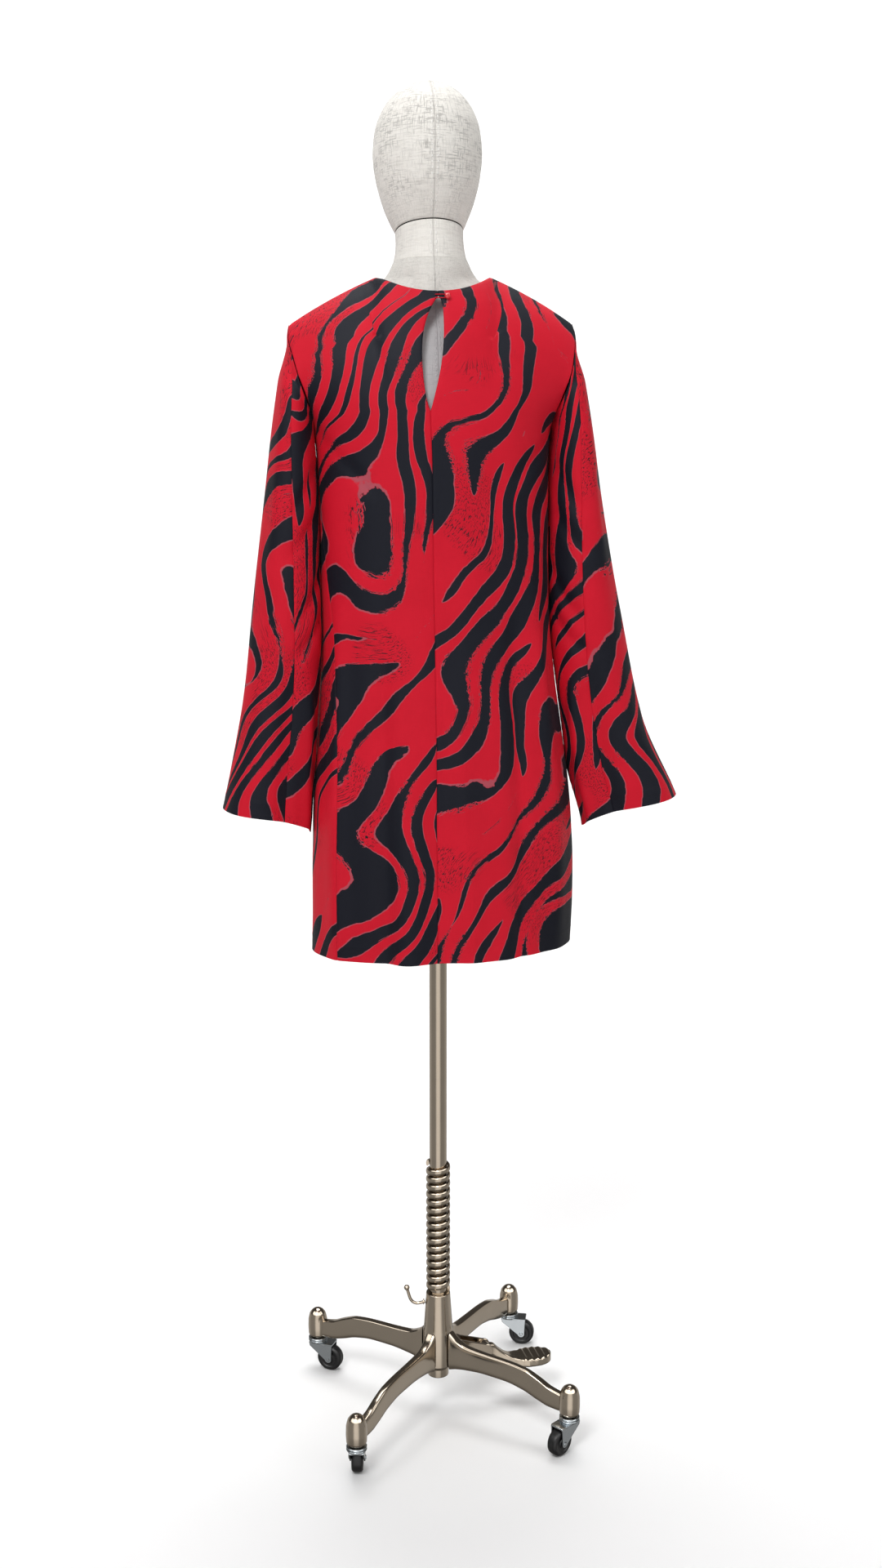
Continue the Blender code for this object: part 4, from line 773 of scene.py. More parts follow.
def make_panel(name, materials):
    """One cut piece of the dress: its grid, folds, seams, turned hem and print coordinates."""
    sleeve = name.startswith("sleeve")
    side = "left" if name.endswith("left") else "right"
    if sleeve:
        points, angle = sleeve_panel(name, side)
        middle, radius, folds = points.shape[1] // 2, SLEEVE_RADIUS, SLEEVE_FOLDS
    else:
        points, middle = body_panel(name)
        angle = np.degrees(np.arctan2(points[..., 0], -points[..., 1]))
        radius, folds = BODY_RADIUS, BODY_FOLDS
    normals, height = grid_normals(points), points[..., 2]
    upwards, across = running_length(points, 0), running_length(points, 1)
    down = upwards[-1:] - upwards
    calm = smooth_step((CALM_Z - height) / CALM_FADE) * smooth_step(down / CALM_EDGE)
    push = FOLD_STRENGTH * fold_push(angle, height, radius, folds) * calm
    push += neighbour_push(points, normals, side, sleeve) + seam_dip(points)
    push += HEM_RIDGE * bell(upwards - HEM_DEPTH, 0.0015) - EDGE_ROLL * bell(down, 0.0022)
    extra = HEM_EXTRA * smooth_step((HEM_DEPTH - upwards) / 0.0015)
    uv = np.stack([across - across[:, middle:middle + 1], upwards], axis=-1) + CUT_PLACES[name]
    piece = cloth_wall(name + "_cloth", points, normals, push, extra, uv, materials)
    settle(piece, "form", "print_cloth", name)
    flat, area = sheet_size(points)


# ================================================================ dress form
SHADE_RING_INSET, SHADE_RING_WIRE = 0.0016, 0.0011      # the dark ring of painted shade in the gap between neck and head
NECK_GROOVE, HEAD_GROOVE = 0.0014, 0.0015               # and how far both draw in beside it
GROOVE_STEPS = np.array([0.0005, 0.0010, 0.0018, 0.0028])
TORSO_RADIUS, NECK_RADIUS, HEAD_RADIUS = 0.13, 0.046, 0.065     # at which the linen's map is unrolled
TORSO_TIGHTER = 0.0006                                  # how far the shoulders keep clear of the cloth


def oval_grid(rows, angles, middle=0.0, rise=0.0):
    """Rings of the form from half width, back and front depth, power and height; rise tips a ring at its back."""
    width, back, front, power, height = [np.asarray(row)[:, None] for row in rows]
    x = width * squared_off(np.cos(angles), power)
    sine = np.sin(angles)
    y = np.where(sine >= 0, front, back) * squared_off(sine, power) + np.reshape(middle, (-1, 1))
    return np.stack([x, y, height + 0 * x - np.reshape(rise, (-1, 1)) * y], axis=-1)


def form_piece(name, grid, angles, radius, material):
    """Closed form piece: wrapped rings with a flat cap at each end; its map unrolls from the middle back."""
    rows, columns = grid.shape[:2]
    quads, places = grid_quads(rows, columns, wrap=True)
    turned = np.append(angles, angles[0] + 2 * np.pi) - angles[0]
    uv_grid = np.stack(np.broadcast_arrays((turned[None, :] - np.pi) * radius, grid[:, :1, 2]), axis=-1)
    uv = uv_grid[places[..., 0], places[..., 1]].reshape(-1, 2)
    faces = [*quads, range(columns)[::-1], range((rows - 1) * columns, rows * columns)]
    uv = np.concatenate([uv, grid[0, ::-1, :2], grid[-1, :, :2]])
    piece = put_mesh(name + "_linen", moved(grid.reshape(-1, 3), POSE), faces, [material], uv)
    piece.data.set_sharp_from_angle(angle=FORM_SHARP)
    settle(piece, "form", "linen", name)


def make_form_pieces(material, neck_shade_finish):
    """Torso, neck and head, each as smooth rings through its table, and a dark ring of painted shade in the gap between
    neck and head.
    """
    angles = np.pi / 2 + round_angles(96)

    def round_piece(name, table, heights, groove, rise, radius):
        width, depth, middle = [column_at(table, column, heights) for column in (1, 2, 3)]
        rows = (width - groove, depth - groove, depth - groove, 2.0 + 0 * heights, heights)
        form_piece(name, oval_grid(rows, angles, middle, rise), angles, radius, material)

    heights = np.unique(np.concatenate([np.linspace(TORSO[0][0], TORSO[-1][0], 150),
                                        [row[0] for row in TORSO[:3] + TORSO[-3:]]]))
    tight = TORSO_TIGHTER * smooth_step((heights - 1.40) / 0.03) * smooth_step((1.566 - heights) / 0.01)
    width, back, front, power = [column_at(TORSO, column, heights) for column in (1, 2, 3, 4)]
    # Above the neckline the slope of the shoulders runs on smoothly into the neck.
    slope, climb = smooth_step((heights - 1.512) / 0.016), (heights - 1.516) / 0.067
    back = blend(back - tight, 0.0565 - 0.0105 * climb, slope)
    front = blend(front - tight, 0.0595 - 0.0075 * climb, slope)
    power = blend(power, 1.35 + 0.65 * smooth_step((heights - 1.550) / 0.033), slope)
    rows = (width - tight, back, front, power, heights - tight)
    form_piece("torso", oval_grid(rows, angles), angles, TORSO_RADIUS, material)

    low, high = NECK[0][0], NECK[-1][0]
    heights = np.unique(np.concatenate([np.linspace(low, high, 24), high - np.array([0.0004, 0.0009, 0.0016, 0.0025])]))
    round_piece("neck", NECK, heights, NECK_GROOVE * bell(high - heights, 0.0010),
                NECK_CUT_RISE * (heights - low) / (high - low), NECK_RADIUS)

    start, half_width, half_depth, middle = HEAD[0]
    # The ring of painted shade: a dark tube set into the groove where neck and head meet, standing in for the gap's
    # shadow.
    half_width, half_depth = half_width - SHADE_RING_INSET, half_depth - SHADE_RING_INSET
    ring = oval_grid([[half_width], [half_depth], [half_depth], [2.0], [(high + start) / 2]],
                     angles, middle, NECK_CUT_RISE)[0]
    section = round_angles(8)[:, None, None]
    outward, upward = unit(ring - ring.mean(axis=0)), np.array([0.0, 0.0, 1.0])
    band = ring + SHADE_RING_WIRE * (np.cos(section) * outward + np.sin(section) * upward)
    put_shells("neck_shade_ring", [shell_of(band, ring=True)], neck_shade_finish, POSE, "form", "black_rubber")

    table = HEAD + [(HEAD_TOP_Z, 0.004, 0.006, HEAD[-1][3])]
    heights = start + (HEAD_TOP_Z - start) * np.sin(np.linspace(0, np.pi / 2, 72))
    heights = np.unique(np.concatenate([heights, start + GROOVE_STEPS]))
    round_piece("head", table, heights, HEAD_GROOVE * bell(heights - start, 0.0011),
                NECK_CUT_RISE * np.maximum(0.0, 1.0 - (heights - high) / 0.05), HEAD_RADIUS)


# ================================================================ stand
def softened(path, size, steps=4):
    """The path with each inner corner cut back by a size and rounded with a parabola."""
    path = np.asarray(path, float)
    corner = path[1:-1]
    to_before, to_after = path[:-2] - corner, path[2:] - corner
    reach_before, reach_after = [np.linalg.norm(way, axis=1, keepdims=True) for way in (to_before, to_after)]
    cut = np.minimum(size, 0.45 * np.minimum(reach_before, reach_after))
    start, end = corner + to_before / reach_before * cut, corner + to_after / reach_after * cut
    part = np.linspace(0, 1, steps + 1)[None, :, None]
    curve = start[:, None] * (1 - part) ** 2 + 2 * corner[:, None] * part * (1 - part) + end[:, None] * part ** 2
    return np.concatenate([path[:1], curve.reshape(-1, path.shape[1]), path[-1:]])


def revolved(profile, sides=48):
    """Rings of (radius, height) pairs turned round Z, bottom ring first."""
    profile, angles = np.asarray(profile, float), round_angles(sides)
    return np.stack([profile[:, :1] * np.cos(angles), profile[:, :1] * np.sin(angles),
                     np.broadcast_to(profile[:, 1:], (len(profile), sides))], axis=-1)


def carried(path, radius, sides):
    """Round rings of one radius carried along a path that runs mostly in a plane square to Y."""
    path, angles = np.asarray(path, float), round_angles(sides)[None, :, None]
    along = unit(np.gradient(path, axis=0))
    first = unit(np.cross(along, [0.0, 1.0, 0.0]))
    second = np.cross(along, first)
    return path[:, None] + radius * (np.cos(angles) * first[:, None] + np.sin(angles) * second[:, None])


def squared(reach, top, bottom, width, power=5.0, sides=40):
    """Rings like a rounded rectangle carried along X, from its top and bottom height and its width."""
    reach, top, bottom, width = [np.asarray(row)[:, None] for row in (reach, top, bottom, width)]
    angles = 2 * np.pi * (np.arange(sides) + 0.5) / sides
    y = width / 2 * squared_off(np.cos(angles), power)
    z = (top + bottom) / 2 + (top - bottom) / 2 * squared_off(np.sin(angles), power)
    return np.stack(np.broadcast_arrays(reach, y, z), axis=-1)


def plate(outline, start, end, edge):
    """A flat (x, z) outline carried along Y, drawn in towards its middle at both faces by an edge."""
    outline = np.asarray(outline, float)
    inner = outline - unit(outline - outline.mean(axis=0)) * edge
    rings = [(inner, start), (outline, start + edge), (outline, end - edge), (inner, end)]
    return shell_of(np.stack([np.stack([ring[:, 0], np.full(len(ring), y), ring[:, 1]], axis=1) for ring, y in rings]))


def pin(radius, half, tip_radius, tip, edge, sides):
    """A round pin along Z, from half its length; its radius shrinks to the tip's from an edge before each end."""
    end = [(0.0006, half), (tip_radius, half - tip), (radius, half - edge)]
    return shell_of(revolved([(reach, -height) for reach, height in end] + end[::-1], sides))


def arc_round(x, z, radius, start, end, count):
    """Points of an arc in degrees round (x, z)."""
    arc = np.radians(np.linspace(start, end, count))
    return np.stack([x + radius * np.cos(arc), z + radius * np.sin(arc)], axis=1)


def shell_of(grid, ring=False):
    """Points and faces of wrapped rings, facing outwards. Both ends are closed, or joined where they make a ring."""
    rows, columns = grid.shape[:2]
    points = grid.reshape(-1, 3)
    quads = grid_quads(rows + ring, columns, wrap=True)[0] % len(points)
    faces = [tuple(quad) for quad in quads]
    if not ring:
        faces += [tuple(range(columns))[::-1], tuple(range((rows - 1) * columns, rows * columns))]
    # The volume under the rings' own triangles says which way they face.
    corners = points[quads] - points.mean(0)
    volume = sum(np.einsum("ij,ij->", corners[:, 0], np.cross(corners[:, second], corners[:, second + 1]))
                 for second in (1, 2))
    return points, faces if volume > 0 else [face[::-1] for face in faces]


def placed(shell, matrix):
    """A shell carried by a matrix."""
    return moved(shell[0], matrix), shell[1]


def put_shells(name, shells, material, matrix, body, slot, *nodes):
    """One object of several closed shells, placed by a matrix that goes into the mesh."""
    faces, count = [], 0
    for shell_points, shell_faces in shells:
        faces += [[corner + count for corner in face] for face in shell_faces]
        count += len(shell_points)
    piece = put_mesh(name, moved(np.concatenate([shell[0] for shell in shells]), matrix), faces, [material])
    piece.data.set_sharp_from_angle(angle=STAND_SHARP)
    settle(piece, body, slot, *nodes)


def make_pole(material):
    """Drawn tube with a rounded foot, and the flange that carries the form."""
    low, top = HUB_SOCKET_Z + SEAM_GAP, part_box("pole")[1][2]
    under = top - POLE_FLANGE
    profile = [(CLOSING_RING, low), (POLE_RADIUS, low), (POLE_RADIUS, under - 0.010), (POLE_RADIUS + 0.004, under),
               (POLE_FLANGE_RADIUS, under), (POLE_FLANGE_RADIUS, top), (CLOSING_RING, top)]
    tube = shell_of(revolved(softened(profile, 0.0010), 64))
    put_shells("pole_tube", [tube], material, STAND, "form", "nickel", "pole")


def make_spring(material):
    """Helix of a rounded flat wire, with a constant rise with the angle."""
    turns = np.linspace(0, SPRING_TURNS, int(SPRING_TURNS * 44))
    angles = 2 * np.pi * turns[:, None]
    section = round_angles(14)
    radius = SPRING_MIDDLE_RADIUS + SPRING_WIRE_R * np.cos(section)
    lift = SPRING_WIRE_Z * 0.98 * np.sign(np.sin(section)) * np.abs(np.sin(section)) ** 0.8
    heights = HUB_TOP_Z + SEAM_GAP + SPRING_WIRE_Z + SPRING_PITCH * turns
    grid = np.stack([np.cos(angles) * radius, np.sin(angles) * radius, heights[:, None] + lift], axis=-1)
    put_shells("spring_wire", [shell_of(grid)], material, STAND, "base", "nickel", "spring")


def make_hub(material):
    """Turned socket: a tapered sleeve that swells into the boss where the four legs meet."""
    socket, bore = POLE_RADIUS + RUNNING_GAP, COLUMN_RADIUS + RUNNING_GAP
    inner = [(CLOSING_RING, HUB_BORE_Z), (bore, HUB_BORE_Z), (bore, HUB_SOCKET_Z), (socket, HUB_SOCKET_Z)]
    outer = [(socket, HUB_TOP_Z), (HUB_TOP_RADIUS, HUB_TOP_Z), (HUB_TOP_RADIUS + 0.0003, HUB_TOP_Z - 0.0060),
             (HUB_WAIST_RADIUS, HUB_WAIST_Z), (HUB_FOOT_RADIUS, HUB_WAIST_Z - 0.005), (HUB_FOOT_RADIUS, HUB_FOOT_Z),
             (HUB_BOSS_RADIUS, HUB_FOOT_Z - 0.005), (HUB_BOSS_RADIUS, HUB_BOTTOM_Z), (CLOSING_RING, HUB_BOTTOM_Z)]
    grid = revolved(np.concatenate([inner, [outer[0]], softened(outer, 0.0014)[1:]]), 72)
    put_shells("hub_casting", [shell_of(grid[::-1])], material, STAND, "base", "nickel", "hub")


def leg_turn(number):
    return Matrix.Rotation(FIRST_LEG_ANGLE + 2 * math.pi * (number - 1) / LEG_COUNT, 4, "Z")


def make_leg(number, material):
    """Cast leg: rounded rectangles on a curved spine, swelling into the hub and into its domed socket."""
    reach = np.linspace(LEG[0][0], LEG[-1][0], 90)
    top, bottom, width = [column_at(LEG, column, reach) for column in (1, 2, 3)]
    arm = shell_of(squared(reach, top, bottom, width * (1 + 0.10 * bell(reach - LEG[0][0], 0.010))))
    socket = [(0.0012, CAP_SOCKET_Z), (CAP_SOCKET_RADIUS, CAP_SOCKET_Z)]
    outside = softened([(CAP_SOCKET_RADIUS, CAP[0][1]), *CAP, (0.0012, CAP_TOP_Z)], 0.0022)
    dome = shell_of(revolved(np.concatenate([socket, outside]), 56))
    dome = placed(dome, Matrix.Translation((STEM_RING_RADIUS, 0, 0)))
    put_shells(f"leg_casting_{number}", [arm, dome], material, STAND @ leg_turn(number),
               "base", "nickel", f"leg_{number}")


def make_caster(number, zinc, rubber):
    """Stamped fork with its ball race, stem and riveted axle, and a wheel with a raised hub and a crowned tread."""
    # The caster is built with its stem on the Z axis and its wheel trailing along +X.
    stem = leg_turn(number) @ Vector((STEM_RING_RADIUS, 0, 0))
    heading = Matrix.Rotation(math.radians(CASTER_HEADINGS[number - 1]), 4, "Z")
    frame_at = STAND @ Matrix.Translation(stem) @ heading
    axle_at = Matrix.Translation((CASTER_TRAIL, 0, WHEEL_RADIUS)) @ ACROSS
    low, high, wide, narrow = RACEWAY_BOTTOM_Z, RACEWAY_TOP_Z, RACEWAY_RADIUS, RACEWAY_RADIUS - 0.0016
    race = [(0.0030, low - 0.0006), (wide - 0.0010, low - 0.0006), (wide, low + 0.0010), (wide, low + 0.0022),
            (narrow, low + 0.003), (narrow, low + 0.0036), (wide, low + 0.0044), (wide, high - 0.0012),
            (narrow, high), (STEM_RADIUS, high), (STEM_RADIUS, STEM_TOP_Z - 0.001), (CLOSING_RING, STEM_TOP_Z)]
    half, under = FORK_WIDTH / 2, CROWN_BOTTOM_Z
    crown = [(FORK_FRONT_X, under), (FORK_REAR_X, under), (FORK_REAR_X, low), (FORK_FRONT_X, low)]
    crown = softened(crown + crown[:2], 0.0008)[1:-1]
    cheek = [(FORK_FRONT_X + 0.0004, under + 0.0012), (FORK_FRONT_X + 0.0011, under - 0.0030),
             *arc_round(CASTER_TRAIL, WHEEL_RADIUS, FORK_END_RADIUS, -165, -15, 17),
             (FORK_REAR_X - 0.0007, under - 0.003), (FORK_REAR_X - 0.0004, under + 0.0012)]
    shells = [shell_of(revolved(softened(race, 0.0005, 3))), plate(crown, -half + 0.0003, half - 0.0003, 0.0006)]
    shells += [plate(cheek, start, start + FORK_PLATE, 0.0003) for start in (-half, half - FORK_PLATE)]
    shells.append(placed(pin(AXLE_RADIUS, AXLE_LENGTH / 2, AXLE_RADIUS * 0.8, 0.0002, 0.0010, 6), axle_at))
    put_shells(f"caster_{number}_fork", shells, zinc, frame_at, f"caster_{number}", "zinc", f"caster_fork_{number}")

    wide, big = WHEEL_WIDTH / 2, WHEEL_RADIUS
    side = [(WHEEL_BORE, 0.0), (WHEEL_BORE, wide * 0.98), (0.0066, wide * 0.98), (0.0070, wide * 0.80)]
    side += [(big * reach, wide * out) for reach, out in ((0.62, 0.80), (0.68, 0.97), (0.84, 0.97), (0.88, 0.90),
                                                          (0.97, 0.72), (1.0, 0.4), (1.0, 0.0))]
    right = softened(side, 0.0006, 3)
    profile = np.concatenate([right, right[-2:0:-1] * (1, -1)])
    wheel = placed(shell_of(revolved(profile, 64), ring=True), axle_at)
    wheel_name = f"wheel_{number}"
    put_shells(f"caster_{number}_wheel", [wheel], rubber, frame_at, wheel_name, "black_rubber", wheel_name)


def make_hook(material):
    """Bent rod out of a collar, and the ball at its tip."""
    (foot, foot_z), (tip, tip_z) = HOOK_PATH[0], HOOK_PATH[-1]
    path = softened([(reach, 0.0, height) for reach, height in HOOK_PATH], 0.0035, 6)
    ball = shell_of(revolved(arc_round(0, 0, HOOK_BALL, -86, 86, 22), 32))
    collar = [(0.0008, -0.0004), (0.0040, -0.0004), (0.0040, 0.0012), (0.0008, 0.0018)]
    collar = shell_of(revolved(softened(collar, 0.0005), 32))
    outwards = Matrix.Translation((foot + 0.0016, 0, foot_z)) @ Matrix.Rotation(math.pi / 2, 4, "Y")
    shells = [shell_of(carried(path, HOOK_WIRE, 20)),
              placed(ball, Matrix.Translation((tip + 0.0006, 0, tip_z + HOOK_BALL * 0.6))), placed(collar, outwards)]
    put_shells("hook_rod", shells, material, STAND @ Matrix.Rotation(HOOK_ANGLE, 4, "Z"), "base", "nickel", "hook")


def make_pedal(material):
    """Pressed arm that widens into a ribbed pad: rounded rectangles whose top rises in waves along the pad."""
    frame_at = STAND @ Matrix.Rotation(PEDAL_ANGLE, 4, "Z")
    pivot = Matrix.Translation((PEDAL_PIVOT_R, 0, PEDAL_PIVOT_Z)) @ ACROSS
    reach = np.unique(np.concatenate([np.linspace(PEDAL_ARM[0][0], PAD_START, 30),
                                      np.linspace(PAD_START, PAD_END, 110)]))
    arm_end = PEDAL_ARM[-1][0]
    top, bottom, width = [column_at(PEDAL_ARM, column, np.minimum(reach, arm_end)) for column in (1, 2, 3)]
    part = np.clip((reach - PAD_START) / (PAD_END - PAD_START), 0, 1)
    ribs = RIB_HEIGHT * (0.5 - 0.5 * np.cos(2 * np.pi * PAD_RIBS * part))
    ribs = ribs * smooth_step(part / 0.04) * smooth_step((1 - part) / 0.06)
    round_end = np.sqrt(np.clip(1 - np.maximum(part - 0.45, 0) ** 2 / 0.31, 0.02, 1))
    pad = PAD_WIDTH * round_end * (0.86 + 0.14 * np.minimum(part / 0.2, 1))
    to_pad = smooth_step((reach - arm_end) / 0.008)
    arm = shell_of(squared(reach, blend(top, PAD_TOP_Z, to_pad) + ribs, blend(bottom, PAD_BOTTOM_Z, to_pad),
                           blend(width, pad, smooth_step((reach - 0.1140) / 0.012)), 6.0, 48))
    half = PEDAL_BARREL_WIDTH / 2
    barrel = softened([(PEDAL_BORE, -half), (PEDAL_BARREL_RADIUS, -half), (PEDAL_BARREL_RADIUS, half),
                       (PEDAL_BORE, half)], 0.0006)
    put_shells("pedal_lever", [arm, placed(shell_of(revolved(barrel), ring=True), pivot)], material, frame_at,
               "pedal", "nickel", "pedal")

    root, root_low, root_high = HUB_FOOT_RADIUS + 2 * SEAM_GAP, CHEEK_BOTTOM_Z, CHEEK_TOP_Z
    inner, outer = CHEEK_GAP / 2, CHEEK_GAP / 2 + CHEEK_THICKNESS
    cheek = [(root, root_low), *arc_round(PEDAL_PIVOT_R, PEDAL_PIVOT_Z, CHEEK_RADIUS, -90, 90, 19), (root, root_high)]
    web = [(root, root_low), (root + 0.010, root_low), (root + 0.010, root_high - 0.0020), (root, root_high)]
    bolt = pin(PEDAL_PIN_RADIUS, outer - 0.0012, PEDAL_PIN_RADIUS - 0.0005, 0.0, 0.0005, 40)
    shells = [plate(cheek, -outer, -inner, 0.0006), plate(cheek, inner, outer, 0.0006),
              plate(web, -outer + 0.001, outer - 0.001, 0.0003), placed(bolt, pivot)]
    put_shells("pedal_cheeks", shells, material, frame_at, "base", "nickel", "pedal_bracket")


def make_fastening(bead, cord):
    """Glossy bead on its shank, and a round loop of turned cloth that comes to it from the left."""
    outside_y = back_at(BUTTON_X, BUTTON_Z) - SEAM_GAP * 2
    frame_at = Matrix.Translation((BUTTON_X, outside_y, BUTTON_Z)) @ ACROSS
    angles = np.radians(np.linspace(18, 178, 40))
    rise = SHANK_HEIGHT + (BUTTON_HEIGHT - SHANK_HEIGHT) * (1 - np.cos(angles)) / 2
    profile = np.concatenate([[(SHANK_RADIUS, 0.0), (SHANK_RADIUS, SHANK_HEIGHT)],
                              np.stack([BUTTON_RADIUS * np.sin(angles), rise], axis=1)])
    put_shells("bead", [placed(shell_of(revolved(profile)), frame_at)], bead, POSE, "form", "red_bead", "button")
    bend = SHANK_RADIUS + LOOP_WIRE + SEAM_GAP * 1.5
    run = np.linspace(LOOP_START_X, BUTTON_X - 0.002, 14)
    below = np.stack([run, np.full(14, BUTTON_Z - bend)], axis=1)
    above = np.stack([run[::-1], np.full(14, BUTTON_Z + bend)], axis=1)
    x, z = np.concatenate([below, arc_round(BUTTON_X, BUTTON_Z, bend, -90, 90, 17), above]).T
    y = np.array([back_at(*place) for place in zip(x, z)])
    y = np.convolve(np.pad(y, 3, mode="edge"), np.ones(7) / 7, mode="valid") - LOOP_LIFT
    loop = shell_of(carried(np.stack([x, y, z], axis=1), LOOP_WIRE, 12))
    put_shells("loop_cord", [loop], cord, POSE, "form", "print_cloth", "button_loop")


# ================================================================ shader helpers
class Wire:
    """What one shader socket gives out. Arithmetic with it adds math nodes to its tree."""

    def __init__(self, nodes, socket):
        self.nodes, self.socket = nodes, socket

    def __add__(self, other):
        return self.nodes.math("ADD", self, other)

    def __sub__(self, other):
        return self.nodes.math("SUBTRACT", self, other)

    def __rsub__(self, other):
        return self.nodes.math("SUBTRACT", other, self)

    def __mul__(self, other):
        return self.nodes.math("MULTIPLY", self, other)

    def __abs__(self):
        return self.nodes.math("ABSOLUTE", self)

    def scaled(self, factor, shift):
        return self.nodes.math("MULTIPLY_ADD", self, factor, shift)

    def ramp(self, low, high, kind="SMOOTHSTEP"):
        """0 on the far side of low, 1 on the far side of high."""
        node = self.nodes.add("ShaderNodeMapRange", {"Value": self, "From Min": low, "From Max": high},
                              interpolation_type=kind)
        return Wire(self.nodes, node.outputs["Result"])


class Nodes:
    """Short ways to add shader nodes to one tree and join them."""

    def __init__(self, tree):
        self.tree = tree

    def add(self, kind, values=None, **settings):
        """A new node; values fill its inputs, settings its own properties."""
        node = self.tree.nodes.new(kind)
        for name, value in settings.items():
            setattr(node, name, value)
        for name, value in (values or {}).items():
            self.put(node.inputs[name], value)
        return node

    def put(self, socket, value):
        """Join a socket to a wire, or set it to a number, colour or vector."""
        if isinstance(value, Wire):
            self.tree.links.new(value.socket, socket)
        else:
            socket.default_value = value

    def read(self, kind, output, values=None, **settings):
        """One output of a new node."""
        return Wire(self, self.add(kind, values, **settings).outputs[output])

    def math(self, operation, *values, clamp=False):
        return self.read("ShaderNodeMath", 0, dict(enumerate(values)), operation=operation, use_clamp=clamp)

    def noise(self, vector, scale, detail=2.0, roughness=0.5, dimensions="3D"):
        values = {"Vector": vector, "Scale": scale, "Detail": detail, "Roughness": roughness}
        return self.read("ShaderNodeTexNoise", "Fac", values, noise_dimensions=dimensions)

    def flat_noise(self, vector, scale=1.0, detail=2.0, roughness=0.5):
        return self.noise(vector, scale, detail, roughness, "2D")

    def mapping(self, vector, scale=(1, 1, 1), location=(0, 0, 0)):
        return self.read("ShaderNodeMapping", 0, {"Vector": vector, "Scale": scale, "Location": location})

    def mix(self, share, first, second):
        """Mix two colours."""
        return self.read("ShaderNodeMix", 2, {0: share, 6: first, 7: second}, data_type="RGBA")

    def combine(self, x, y):
        return self.read("ShaderNodeCombineXYZ", 0, {0: x, 1: y})

    def separate(self, vector):
        return [Wire(self, socket) for socket in self.add("ShaderNodeSeparateXYZ", {0: vector}).outputs]

    def measured_in(self, vector, size):
        """A flat vector in units of a size."""
        sizes = self.read("ShaderNodeCombineXYZ", 0, {0: size, 1: size, 2: 1.0})
        return self.read("ShaderNodeVectorMath", 0, {0: vector, 1: sizes}, operation="DIVIDE")

    def group(self, tree, **values):
        node = self.add("ShaderNodeGroup", {name.capitalize(): value for name, value in values.items()}, node_tree=tree)
        return {socket.name: Wire(self, socket) for socket in node.outputs}

    def uv(self):
        return self.read("ShaderNodeUVMap", 0, uv_map="UVMap")

    def object_place(self):
        return self.read("ShaderNodeTexCoord", "Object")


def shader_group(name, inputs, outputs):
    """A new shader node group with number sockets after its vector; returns its nodes, inputs and output node."""
    tree = bpy.data.node_groups.new(name, "ShaderNodeTree")
    tree.interface.new_socket("Vector", in_out="INPUT", socket_type="NodeSocketVector")
    for label, start in inputs.items():
        tree.interface.new_socket(label, in_out="INPUT", socket_type="NodeSocketFloat").default_value = start
    for label in outputs:
        tree.interface.new_socket(label, in_out="OUTPUT", socket_type="NodeSocketFloat")
    nodes = Nodes(tree)
    given = {socket.name: Wire(nodes, socket) for socket in nodes.add("NodeGroupInput").outputs}
    return nodes, given, nodes.add("NodeGroupOutput").inputs


def new_material(name, **constants):
    """A Principled material with its constant values; returns it, its nodes and its shader's inputs."""
    material = bpy.data.materials.new(name)
    material.use_nodes = True
    shader = material.node_tree.nodes["Principled BSDF"].inputs
    for label, value in constants.items():
        shader[label.replace("_", " ")].default_value = value
    return material, Nodes(material.node_tree), shader


def surface(nodes, shader, colour, roughness, height=None, relief=0.0):
    """Join a finish's colour and roughness, and a bump as deep as its relief, to its shader."""
    nodes.put(shader["Base Color"], colour)
    nodes.put(shader["Roughness"], roughness)
    if height:
        bump = {"Distance": relief, "Strength": 1.0, "Height": height}
        nodes.put(shader["Normal"], nodes.read("ShaderNodeBump", "Normal", bump))


def linear(red, green, blue):
    """Colour as the eye names it, 0 to 255, to the linear values that shaders take."""
    values = np.array([red, green, blue]) / 255.0
    values = np.where(values <= 0.04045, values / 12.92, ((values + 0.055) / 1.055) ** 2.4)
    return (*map(float, values), 1.0)


# ================================================================ materials
BAND_SIZE = 0.042               # distance from one printed band to the next
PRINT_THREAD, LINEN_THREAD = 0.00034, 0.00075
STITCH_LENGTH, STITCH_OFF = 0.0065, 0.0036      # of the stitches beside the form's middle back seam
PAINTED_SHADE_Z = 1.542               # below this height, at the back, the linen is darkened with painted shade where the dress would shade it

# Metals: colour and roughness.
METALS = {"nickel": ((180, 168, 152), 0.15), "zinc": ((182, 188, 192), 0.20)}

# Plain finishes, each from one noise.
PLAIN = {
    # scale, detail and upright stretch of the noise, the two colours, share and start of the roughness, relief
    "black_rubber": (420.0, 3.0, 1.0, (9, 9, 10), (20, 20, 22), 0.22, 0.30, 0.00008, {"Specular_IOR_Level": 0.45}),
    # Painted shade: a dark felt-like finish for the ring that stands in for the shadow in the gap between neck and
    # head.
    "painted_neck_shade": (900.0, 2.0, 1.0, (38, 36, 34), (66, 62, 58), 0.10, 0.88, 0.0, {"Specular_IOR_Level": 0.05}),
    "red_cord": (1800.0, 2.0, 2.4, (150, 10, 26), (214, 22, 44), 0.20, 0.45, 0.0001, {"Specular_IOR_Level": 0.2}),
    "red_bead": (240.0, 2.0, 1.0, (180, 14, 26), (226, 26, 40), 0.10, 0.08, 0.0,
                 {"Coat_Weight": 0.6, "Coat_Roughness": 0.05}),
}


